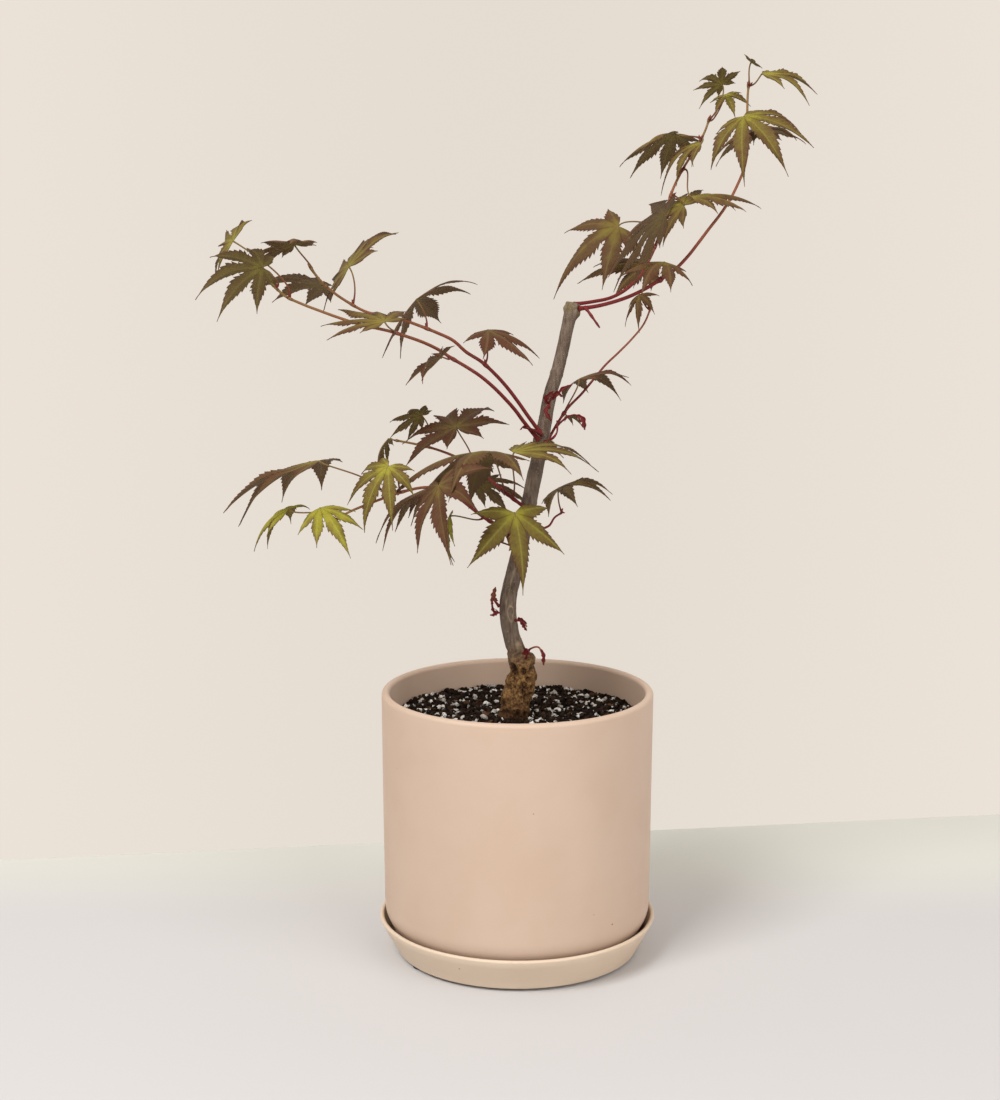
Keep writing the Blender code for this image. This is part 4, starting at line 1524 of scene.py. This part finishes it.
    def bent(self, leaf: Leaf, base: Array, polar: Array) -> Array:
        """Flat polar points placed on the drooping blade.

        Along every radius the blade falls away at an angle that grows from fall_deg by the
        leaf's droop over its length, as an arc does; the lift is along the arc's normal, and
        the hang is straight down.

        Args:
            leaf: the leaf.
            base: where its stalk ends.
            polar: rows (radius, angle, lift, hang).

        Returns:
            The points.
        """
        along, left, face = leaf.directions()
        radius, angle, lift, hang = polar.T
        fall = math.radians(self.fall_deg)
        bend = math.radians(leaf.droop) / leaf.length
        now = fall + bend * radius
        reach = (np.sin(now) - math.sin(fall)) / bend + lift * np.sin(now)
        rise = (np.cos(now) - math.cos(fall)) / bend + lift * np.cos(now)
        ray = np.cos(angle)[:, None] * along + np.sin(angle)[:, None] * left
        down = hang[:, None] * np.array([0.0, 0.0, -1.0])
        return base + reach[:, None] * ray + rise[:, None] * face + down

    def skin(self, leaf: Leaf, base: Array, rng: np.random.Generator) -> Surface:
        """The blade as a thin closed sheet.

        Args:
            leaf: the leaf.
            base: where its stalk ends.
            rng: where its irregularity comes from.

        Returns:
            The sheet.
        """
        polar, faces, marks = self.flat(leaf, rng)
        return thickened(self.bent(leaf, base, polar), faces, self.thickness, marks)


SHOOTS = (
    Shoot("left_high", (
        (11, 0, 159), (-5, -6, 182), (-18, -12, 196), (-28, -16, 203), (-36, -20, 210),
        (-59, -30, 220), (-76, -36, 224), (-86, -40, 229), (-99, -46, 239), (-107, -50, 250),
    ), 1.25, 0.75, (
        Leaf(0.30, (2, 3, 18), -44, 12, 4, 35, 10, 5, 44, -0.15),
        Leaf(0.54, (-5, 2, 15), 88, 2, -42, 46, 25, 7, 44, 0.1),
        Leaf(0.80, (-2, 6, 19), 94, -28, -50, 48, 20, 7, 33, 0.35),
        Leaf(0.91, (-2, 16, -1), 178, -16, 20, 41, 15, 7, 35, 0.2),
        Leaf(0.98, (-8, -3, 12), -124, -20, 18, 30, 20, 7, 36, 0.2),
    )),
    Shoot("left_low", (
        (8, -4, 157), (-2, -12, 172), (-18, -22, 189), (-37, -32, 202), (-46, -38, 208),
        (-64, -46, 215), (-79, -52, 219), (-91, -56, 223), (-115, -63, 233), (-124, -66, 241),
    ), 1.25, 0.75, (
        Leaf(0.40, (-4, -8, 0), -126, -4, 42, 30, 20, 5, 33, -0.25),
        Leaf(0.60, (-3, -24, 7), 134, -18, -12, 40, 10, 7, 29, 0.25),
        Leaf(0.93, (-28, 4, 28), 118, -6, -56, 33, 15, 5, 36, 0.5),
        Leaf(0.98, (-6, -4, 10), -178, -4, 44, 37, 30, 7, 40, 0.45),
    )),
    Shoot("mid_left", (
        (3, -7, 119), (-7, -4, 126), (-21, 8, 136), (-33, 18, 142), (-50, 26, 147), (-69, 32, 150),
    ), 1.1, 0.7, (
        Leaf(0.09, (1, -28, 28), 28, -22, 6, 58, 45, 5, 26, 0.45),
        Leaf(0.14, (-8, -29, 26), -162, -8, 16, 63, 40, 7, 47, 0.35),
        Leaf(0.37, (-1, 5, -8), 28, -2, -46, 33, 30, 5, 32, 0.2),
        Leaf(0.45, (-8, 7, 20), 110, -22, -20, 46, 20, 7, 47, -0.1),
        Leaf(0.77, (-4, 14, 16), -160, -14, 48, 23, 30, 7, 38, 0.5),
        Leaf(0.98, (-5, 8, 0), 144, 34, -18, 23, 55, 5, 28, 0.5),
    )),
    Shoot("low_left", (
        (2, -14, 104), (-8, -18, 109), (-18, -22, 115), (-35, -28, 129), (-46, -32, 133),
        (-62, -38, 131), (-74, -42, 127), (-86, -46, 123), (-97, -50, 117),
    ), 1.2, 0.7, (
        Leaf(0.21, (-18, 4, 0), 146, 48, -42, 29, 55, 5, 35, 0.95),
        Leaf(0.51, (5, -32, 6), -92, 30, 42, 42, 15, 7, 45, 0.0),
        Leaf(0.51, (4, 12, 0), 168, 10, 0, 53, 45, 5, 31, 0.1),
        Leaf(0.66, (-5, -14, 16), -138, 36, -14, 34, 40, 7, 39, 0.5),
        Leaf(0.73, (-34, -5, 20), 152, 6, -4, 64, 25, 7, 29, 0.2),
        Leaf(0.98, (-7, -9, 8), -58, 12, 16, 32, 35, 5, 36, 0.95),
        Leaf(0.98, (-24, -1, 6), 136, -2, -22, 34, 65, 5, 38, 0.9),
    )),
    Shoot("right", (
        (17, 6, 154), (26, 14, 168), (38, 20, 180), (46, 24, 190), (59, 30, 202),
        (69, 33, 213), (74, 35, 224),
    ), 0.9, 0.6, (
        Leaf(0.19, (7, -12, 19), 60, -18, -22, 37, 40, 7, 34, 0.0),
        Leaf(0.19, (1, 8, -3), 32, 4, -18, 11, 30, 5, 33, 0.1),
        Leaf(0.98, (-6, 2, 8), -114, 28, 24, 21, 55, 5, 45, 0.15),
    ), (0.1, 0.6)),
    Shoot("top_main", (
        (34, 10, 224), (47, 14, 226), (63, 19, 231), (78, 24, 239), (90, 28, 248),
        (104, 34, 265), (116, 38, 281), (125, 42, 301), (126, 45, 317), (126, 48, 334),
        (127, 50, 347),
    ), 1.3, 0.7, (
        Leaf(0.28, (-1, -28, 10), -120, -4, -8, 32, 30, 7, 39, 0.1),
        Leaf(0.28, (-2, 33, 6), -162, -16, -22, 47, 35, 5, 39, 0.3),
        Leaf(0.83, (-3, -6, 9), -66, 14, 24, 45, 45, 7, 37, 0.4),
        Leaf(0.83, (10, 22, 2), -106, -20, 10, 40, 40, 7, 44, 0.4),
        Leaf(0.98, (7, -1, 6), 0, -8, 18, 34, 30, 5, 28, 0.5),
        Leaf(0.98, (1, -1, 12), -78, -18, -38, 13, 15, 3, 41, 0.5),
    )),
    Shoot("top_second", (
        (32, 18, 226), (51, 26, 229), (64, 32, 237), (73, 38, 250), (80, 44, 267),
        (85, 48, 285), (92, 52, 299), (102, 55, 315), (107, 57, 328),
    ), 1.2, 0.7, (
        Leaf(0.44, (3, -23, 17), -152, 22, 44, 58, 15, 7, 29, 0.15),
        Leaf(0.52, (-24, 4, 0), -164, 18, -36, 47, 30, 5, 50, 0.2),
        Leaf(0.65, (7, -3, -6), 134, -10, -44, 34, 40, 7, 40, 0.3),
        Leaf(0.76, (2, -32, -15), 8, -18, 8, 40, 30, 5, 34, 0.3),
        Leaf(0.90, (-14, 7, 3), 142, 14, 10, 42, 40, 7, 40, 0.4),
        Leaf(0.90, (-1, -10, -3), -178, 8, -18, 33, 70, 5, 29, 0.4),
        Leaf(0.98, (7, 2, 19), -146, -28, 38, 21, 15, 7, 41, 0.5),
        Leaf(0.98, (10, 9, 14), -76, 26, 20, 18, 15, 5, 45, 0.5),
    )),
    Shoot("twig_right", ((7, 6, 103), (17, 10, 105), (21, 13, 110), (25, 15, 112)), 0.9, 0.6, (
        Leaf(0.98, (-2, -1, 14), 40, -16, -26, 37, 35, 7, 41, 0.35),
    ), (0.0, 0.2)),
    Shoot("twig_front", ((0, -16, 94), (-4, -24, 100), (-6, -32, 107)), 0.9, 0.6, (
        Leaf(0.98, (4, -10, 14), -66, 54, -2, 45, 20, 5, 52, 0.5),
    ), (0.0, 0.3)),
)

SPROUTS = (
    Shoot("sprout_low_left", ((-11, -9, 65), (-13, -10, 69), (-12, -10, 75)), 0.8, 0.5),
    Shoot("sprout_low_right", ((0, -13, 57), (3, -15, 57), (5, -16, 54)), 0.7, 0.5),
    Shoot("sprout_foot", ((6, -18, 41), (9, -20, 44), (12, -20, 43), (14, -20, 37)), 0.7, 0.5),
)


@dataclass(frozen=True)
class Scale:
    """A dried leaflet or bud scale: its route, its width, and its colour's place on the run."""

    route: tuple[Point, ...]
    width: float
    age: float = 0.0


@dataclass(frozen=True)
class Twiglet:
    """A tiny red twig on the trunk: its route from inside the bark, its radius, its scales."""

    route: tuple[Point, ...]
    radius: float
    scales: tuple[Scale, ...] = ()


SPROUT_SCALES = {
    "sprout_low_left": (
        Scale(((-11, -9, 67), (-13, -11, 70), (-12, -11, 75)), 2.4, 0.45),
        Scale(((-12, -10, 70), (-14, -11, 69), (-14, -12, 65)), 1.7, 0.3),
    ),
    "sprout_low_right": (
        Scale(((0, -13, 58), (2, -15, 58), (5, -16, 56)), 2.5),
        Scale(((1, -14, 57), (3, -15, 55), (5, -16, 52)), 1.7),
    ),
    "sprout_foot": (
        Scale(((12, -20, 43), (14, -21, 40), (14, -21, 34)), 2.0, 0.1),
    ),
}

TWIGLETS = (
    Twiglet(((36, 10, 225), (39, 7, 221), (44, 5, 214)), 1.0),
    Twiglet(((13, -1, 157), (7, -9, 161), (3, -12, 162)), 1.0, (
        Scale(((5, -10, 162), (3, -12, 163), (1, -13, 161)), 1.6),)),
    Twiglet(((17, 3, 171), (17, -3, 174), (18, -5, 178)), 0.8, (
        Scale(((17, -2, 173), (15, -5, 177), (19, -6, 181)), 2.4),
        Scale(((18, -3, 176), (21, -5, 180), (24, -6, 178)), 2.2),
        Scale(((17, -3, 174), (15, -6, 170), (18, -7, 165)), 2.0, 0.2),
        Scale(((19, -2, 176), (24, -3, 182), (29, -4, 184)), 1.6, 0.1))),
    Twiglet(((20, 4, 160), (26, -1, 166), (31, -4, 168), (34, -4, 164)), 0.7, (
        Scale(((31, -4, 168), (35, -5, 166), (36, -5, 160)), 2.6, 0.1),)),
    Twiglet(((14, 0, 153), (18, -5, 155), (21, -6, 159), (21, -4, 165)), 0.8),
    Twiglet(((4, -11, 92), (-4, -18, 99), (-11, -20, 102)), 0.7, (
        Scale(((-8, -19, 101), (-11, -20, 103), (-14, -20, 101)), 1.8, 0.2),)),
    Twiglet(((3, -11, 94), (-4, -18, 102), (-7, -20, 108)), 0.6, (
        Scale(((-6, -19, 105), (-8, -21, 108), (-7, -21, 112)), 1.8, 0.2),)),
    Twiglet(((-4, -8, 58), (-9, -11, 60), (-12, -12, 63)), 0.5, (
        Scale(((-10, -11, 61), (-13, -12, 62), (-14, -13, 66)), 1.5),
        Scale(((-10, -11, 61), (-13, -12, 60), (-15, -13, 60)), 1.4))),
    Twiglet(((4, -13, 34), (5, -18, 39), (7, -19, 43)), 0.7, (
        Scale(((4, -18, 39), (5, -20, 43), (7, -20, 39)), 2.4, 0.1),)),
)


@dataclass
class Foliage:
    """The shoots with their buds, and the leaves on their stalks."""

    trunk: Trunk
    blade: Blade
    lift: float
    shoot_step: float = 9.0
    shoot_lead: float = 0.2
    stalk_ease: float = 0.3
    stalk_run_in: float = 6.0
    stalk_slant_deg: float = 45.0
    stalk_corner: float = 0.25
    slimness: float = 0.84
    bract_rows: int = 18
    bract_columns: int = 7
    twiglet_rows: int = 20
    seed: int = 2026

    def cad_line(self, shoot: Shoot) -> Array:
        """The shoot's centre line as the part has it, a step apart, starting on the bark."""
        route = np.asarray(shoot.route, float)
        length = np.linalg.norm(np.diff(route, axis=0), axis=1).sum()
        line = resample(smooth_line(route, 6), max(5, int(length / self.shoot_step)))
        trunk = self.trunk.line()
        nearest = trunk[int(np.linalg.norm(trunk[:, :3] - line[0], axis=1).argmin())]
        outwards = unit(line[0] - nearest[:3])
        start = nearest[:3] + outwards * (nearest[3] + GAP + shoot.foot_radius)
        line[0] = start + self.shoot_lead * unit(line[1] - line[0])
        return line

    def wood(self, shoot: Shoot) -> Surface:
        """A shoot: a smooth taper that swells at each leaf and flares where it leaves the trunk.

        Args:
            shoot: the shoot.

        Returns:
            Its skin, marked with age and joint.
        """
        line = self.cad_line(shoot)
        root = line[0] - 1.6 * unit(line[1] - line[0])
        fine = resample(smooth_line(np.vstack([root, line]), 12), 14 * len(line))
        t = np.linspace(0.0, 1.0, len(fine))
        length = np.linalg.norm(np.diff(fine, axis=0), axis=1).sum()
        radii = self.slimness * (shoot.foot_radius + (shoot.tip_radius - shoot.foot_radius) * t)
        radii = radii * (1.0 + 0.55 * np.exp(-t * length / 1.8))
        joint = np.zeros_like(t)
        for leaf in shoot.leaves:
            apart = (t - leaf.at) * length
            radii = radii * (1.0 + 0.34 * np.exp(-(apart / 1.5) ** 2))
            joint = joint + np.exp(-((np.abs(apart) - 1.2) / 0.35) ** 2)
        radii[-3:] *= (0.9, 0.7, 0.35)
        low, high = shoot.ripeness
        marks = {"age": low + (high - low) * t, "joint": np.clip(joint, 0.0, 1.0)}
        return tube(fine, radii, 16, marks)

    def bud(self, place: Array, towards: Array, length: float, width: float, age: float) -> Surface:
        """A pointed bud: radius = width/2 * sqrt(sin(pi t)) * (1 - t/2) along its length.

        Args:
            place: where it sits.
            towards: the way it points.
            length: of the bud.
            width: at its fattest.
            age: its colour's place on the run from crimson to olive.

        Returns:
            Its skin.
        """
        t = np.linspace(0.0, 1.0, 8)
        line = place + unit(towards) * length * t[:, None]
        radii = 0.5 * width * np.sqrt(np.sin(math.pi * np.clip(t, 0.04, 0.985))) * (1.15 - 0.6 * t)
        return tube(line, radii, 10, {"age": np.full(8, age), "joint": 0.25 * (1.0 - t)})

    def bract(self, scale: Scale) -> Surface:
        """A curled dry scale: a thin strip along a path, its half width following sin(pi t)^0.6.

        Its edge wavers and it cups across, the more the nearer it is to its tip.

        Args:
            scale: the scale.

        Returns:
            The closed strip.
        """
        rows, columns = self.bract_rows, self.bract_columns
        line = resample(smooth_line(scale.route, 8), rows)
        _, across, face = path_frames(line)
        t = np.linspace(0.0, 1.0, rows)
        half = 0.5 * scale.width * np.sin(math.pi * np.clip(t, 0.06, 0.985)) ** 0.6
        half = half * (1.0 + 0.3 * np.sin(21.0 * t + scale.width * 9.0))
        share = np.linspace(-1.0, 1.0, columns)
        cup = (0.3 + 0.6 * t)[:, None] * half[:, None] * share[None] ** 2
        grid = line[:, None] + half[:, None, None] * share[None, :, None] * across[:, None]
        grid = grid + cup[..., None] * face[:, None]
        marks = {"age": np.full(rows * columns, scale.age), "joint": np.repeat(0.6 * t**2, columns)}
        faces = triangles(grid_quads(rows, columns, False))
        return thickened(grid.reshape(-1, 3), faces, 0.3, marks)

    def stalk_line(self, leaf: Leaf, line: Array, radii: Array) -> Array:
        """A leaf stalk's curve: a cubic that leaves the shoot square and slants into the blade.

        Args:
            leaf: the leaf.
            line: the shoot's centre line.
            radii: the shoot's radius at its points.

        Returns:
            The curve's points, from the shoot to the base of the blade.
        """
        place = leaf.at * (len(line) - 1)
        before = min(int(place), len(line) - 2)
        centre = line[before] + (line[before + 1] - line[before]) * (place - before)
        radius = np.interp(place, np.arange(len(line)), radii)
        tangent = unit(line[before + 1] - line[before])
        stalk = np.array(leaf.stalk, float)
        base = centre + stalk
        square = stalk - tangent * (stalk @ tangent)
        start = centre + unit(square) * (radius + GAP + self.stalk_corner)
        span = np.linalg.norm(base - start)
        along, _, face = leaf.directions()
        slant = math.copysign(math.radians(self.stalk_slant_deg), float((start - base) @ face))
        inwards = math.cos(slant) * along - math.sin(slant) * face
        first = start + unit(square + self.stalk_ease * unit(stalk)) * self.stalk_ease * span
        last = base - inwards * min(self.stalk_ease * span, self.stalk_run_in)
        t = np.linspace(0.0, 1.0, 26)[:, None]
        curve = (start * (1 - t)**3 + first * 3 * t * (1 - t)**2 + last * 3 * t**2 * (1 - t)
                 + base * t**3)
        return np.vstack([centre + 0.4 * (start - centre), curve])

    def stalk(self, leaf: Leaf, curve: Array) -> Surface:
        """A leaf stalk: a thin tube with a swollen foot, tucked under the blade.

        Args:
            leaf: the leaf.
            curve: its centre line.

        Returns:
            Its skin, marked with along and tone.
        """
        along, _, face = leaf.directions()
        end = curve[-1] + 0.06 * leaf.length * along - 0.25 * face
        line = np.vstack([curve[:-1], curve[-1] - 0.2 * face, end])
        t = np.linspace(0.0, 1.0, len(line))
        radii = 0.4 + 0.5 * np.exp(-t * 11.0) + 0.12 * smooth_step(0.85, 1.0, t)
        radii[-1] *= 0.4
        tone = np.full(len(line), leaf.tone)
        return tube(line, radii, 10, {"along": t, "tone": tone})

    def build(self) -> None:
        """Make every shoot, sprout and leaf, and dress them."""
        bark, blade_finish = ShootFinish().material(), LeafFinish().material()
        stalk_finish = StalkFinish().material()
        lift = (0.0, 0.0, self.lift)
        rng = np.random.default_rng(self.seed)
        for shoot in SHOOTS:
            line = self.cad_line(shoot)
            radii = np.linspace(shoot.foot_radius, shoot.tip_radius, len(line))
            parts = [self.wood(shoot)]
            for number, leaf in enumerate(shoot.leaves, 1):
                curve = self.stalk_line(leaf, line, radii)
                age = shoot.ripeness[0] + (shoot.ripeness[1] - shoot.ripeness[0]) * leaf.at
                for turn in (1.0, -1.0):
                    outwards = unit(curve[3] - curve[0]) * turn
                    ahead = unit(line[-1] - line[-2])
                    parts.append(self.bud(curve[0] + 0.3 * outwards, outwards + 1.3 * ahead, 2.1, 1.05,
                                          0.4 * age))
                blade = self.blade.skin(leaf, curve[-1], rng)
                stalk = self.stalk(leaf, curve)
                stalk.finish = 1
                name = f"{shoot.name}_{number}"
                Piece(f"maple_{name}", Slot.LEAF, (f"leaf_{name}",), 80.0).add(
                    [blade.moved(lift), stalk.moved(lift)], [blade_finish, stalk_finish])
            node = shoot.name if shoot.name.startswith("twig") else f"shoot_{shoot.name}"
            wood = Piece(f"wood_{shoot.name}", Slot.SHOOT, (node,))
            wood.add([part.moved(lift) for part in parts], [bark])
        self.build_sprouts(bark)
        self.build_twiglets(bark)

    def build_sprouts(self, bark: bpy.types.Material) -> None:
        """Make the dried sprouts at the trunk, each a short stem with curled scales.

        Args:
            bark: the shoots' finish.
        """
        for sprout in SPROUTS:
            parts = [self.wood(sprout)]
            parts.extend(self.bract(scale) for scale in SPROUT_SCALES[sprout.name])
            Piece(f"dry_{sprout.name}", Slot.SHOOT, (sprout.name,)).add(
                [part.moved((0.0, 0.0, self.lift)) for part in parts], [bark])


    def build_twiglets(self, bark: bpy.types.Material) -> None:
        """Make the tiny red twigs on the trunk, which taper to half their radius.

        Args:
            bark: the shoots' finish.
        """
        parts = []
        for twiglet in TWIGLETS:
            line = resample(smooth_line(twiglet.route, 8), self.twiglet_rows)
            t = np.linspace(0.0, 1.0, self.twiglet_rows)
            radii = twiglet.radius * (1.0 - 0.5 * t) * (1.0 + 0.15 * np.sin(17.0 * t))
            parts.append(tube(line, radii, 12, {"age": 0.1 * t, "joint": 0.8 * t**4}))
            parts.extend(self.bract(scale) for scale in twiglet.scales)
        Piece("red_twiglets", Slot.SHOOT).add([part.moved((0.0, 0.0, self.lift)) for part in parts], [bark])


# ---------------------------------------------------------------- stage


@dataclass(frozen=True)
class Lamp:
    """A soft light: its middle in millimetres, the length of its side in metres, its power."""

    name: str
    place: Point
    size: float
    watts: float
    colour: Colour


@dataclass
class Studio:
    """The table, the wall behind it, the soft lights and the camera."""

    wall: Colour = (0.84, 0.765, 0.69)
    glow: Colour = (0.52, 0.487, 0.452)
    wall_distance: float = 1500.0
    wall_half: float = 6000.0
    wall_dimming: float = 0.93
    wall_fade: float = 0.9
    camera_place: Point = (-9.6, -1044.0, 416.0)
    pitch_deg: float = 10.26
    lens: float = 63.6
    far_left: tuple[float, float] = (-1000.0, 47.0)
    far_right: tuple[float, float] = (1000.0, 330.0)
    near: float = -2500.0
    lamps: tuple[Lamp, ...] = (
        Lamp("key", (-1050.0, -1300.0, 1950.0), 1.0, 49.0, (1.0, 0.99, 0.97)),
        Lamp("fill", (1300.0, -1500.0, 1150.0), 1.7, 23.0, (1.0, 0.99, 0.98)),
    )

    def add_table(self) -> None:
        """A flat sheet whose far edge runs across the view at a slight angle."""
        corners = [(self.far_left[0], self.near, 0.0), (self.far_right[0], self.near, 0.0),
                   (*self.far_right, 0.0), (*self.far_left, 0.0)]
        mesh = bpy.data.meshes.new("table")
        mesh.from_pydata([Vector(c) * MM for c in corners], [], [(0, 1, 2, 3)])
        mesh.materials.append(FloorFinish().material())
        table = bpy.data.objects.new("table", mesh)
        bpy.context.scene.collection.objects.link(table)

    def add_wall(self) -> None:
        """A plain wall far behind the table, which shines softly so that it looks even."""
        half, back = self.wall_half, self.wall_distance
        corners = [(-half, back, -half), (half, back, -half), (half, back, half), (-half, back, half)]
        mesh = bpy.data.meshes.new("wall")
        mesh.from_pydata([Vector(c) * MM for c in corners], [], [(0, 1, 2, 3)])
        board = Board("plain_wall")
        where = board.node("ShaderNodeTexCoord").outputs["Object"]
        aside = Value(board, board.node("ShaderNodeSeparateXYZ", None, {0: where}).outputs[0])
        dimmer = tuple(self.wall_dimming * part for part in self.wall)
        middle = aside.math("ABSOLUTE", aside).ramp(self.wall_fade, 0.0)
        board.connect(board.shader.inputs["Emission Color"], board.mix(middle, self.wall, dimmer))
        mesh.materials.append(board.finish((0.0, 0.0, 0.0), 1.0, None, Emission_Strength=1.0,
                                           Specular_IOR_Level=0.0))
        wall = bpy.data.objects.new("wall", mesh)
        bpy.context.scene.collection.objects.link(wall)

    def add_light(self, lamp: Lamp) -> None:
        """A square soft light aimed at the middle of the tree.

        Args:
            lamp: its name, place, size, power and colour.
        """
        light = bpy.data.lights.new(lamp.name, "AREA")
        light.shape = "SQUARE"
        light.size = lamp.size
        light.energy = lamp.watts
        light.color = lamp.colour
        holder = bpy.data.objects.new(lamp.name, light)
        holder.location = Vector(lamp.place) * MM
        towards = Vector((0.0, 0.0, 0.2)) - holder.location
        holder.rotation_euler = towards.to_track_quat("-Z", "Y").to_euler()
        bpy.context.scene.collection.objects.link(holder)

    def add_camera(self) -> None:
        """The camera, looking along +Y and a little down."""
        data = bpy.data.cameras.new("view")
        data.lens = self.lens
        data.sensor_width = 36.0
        data.clip_end = 100.0
        camera = bpy.data.objects.new("view", data)
        camera.location = Vector(self.camera_place) * MM
        camera.rotation_euler = (math.radians(90.0 - self.pitch_deg), 0.0, 0.0)
        bpy.context.scene.collection.objects.link(camera)
        bpy.context.scene.camera = camera

    def build(self) -> None:
        """Set the stage."""
        world = bpy.data.worlds.new("studio")
        world.use_nodes = True
        world.node_tree.nodes["Background"].inputs[0].default_value = (*self.glow, 1.0)
        bpy.context.scene.world = world
        bpy.context.scene.view_settings.view_transform = "Standard"
        self.add_table()
        self.add_wall()
        for lamp in self.lamps:
            self.add_light(lamp)
        self.add_camera()


def main() -> None:
    """Build the stage and the model in order."""
    logging.basicConfig(level=logging.INFO, format="%(message)s")
    Studio().build()
    ceramics = Ceramics()
    trunk = Trunk()
    soil = Soil(ceramics, trunk)
    ceramics.build()
    soil.build()
    trunk.build(soil.top)
    Foliage(trunk, Blade(), soil.top).build()


if __name__ == "__main__":
    main()
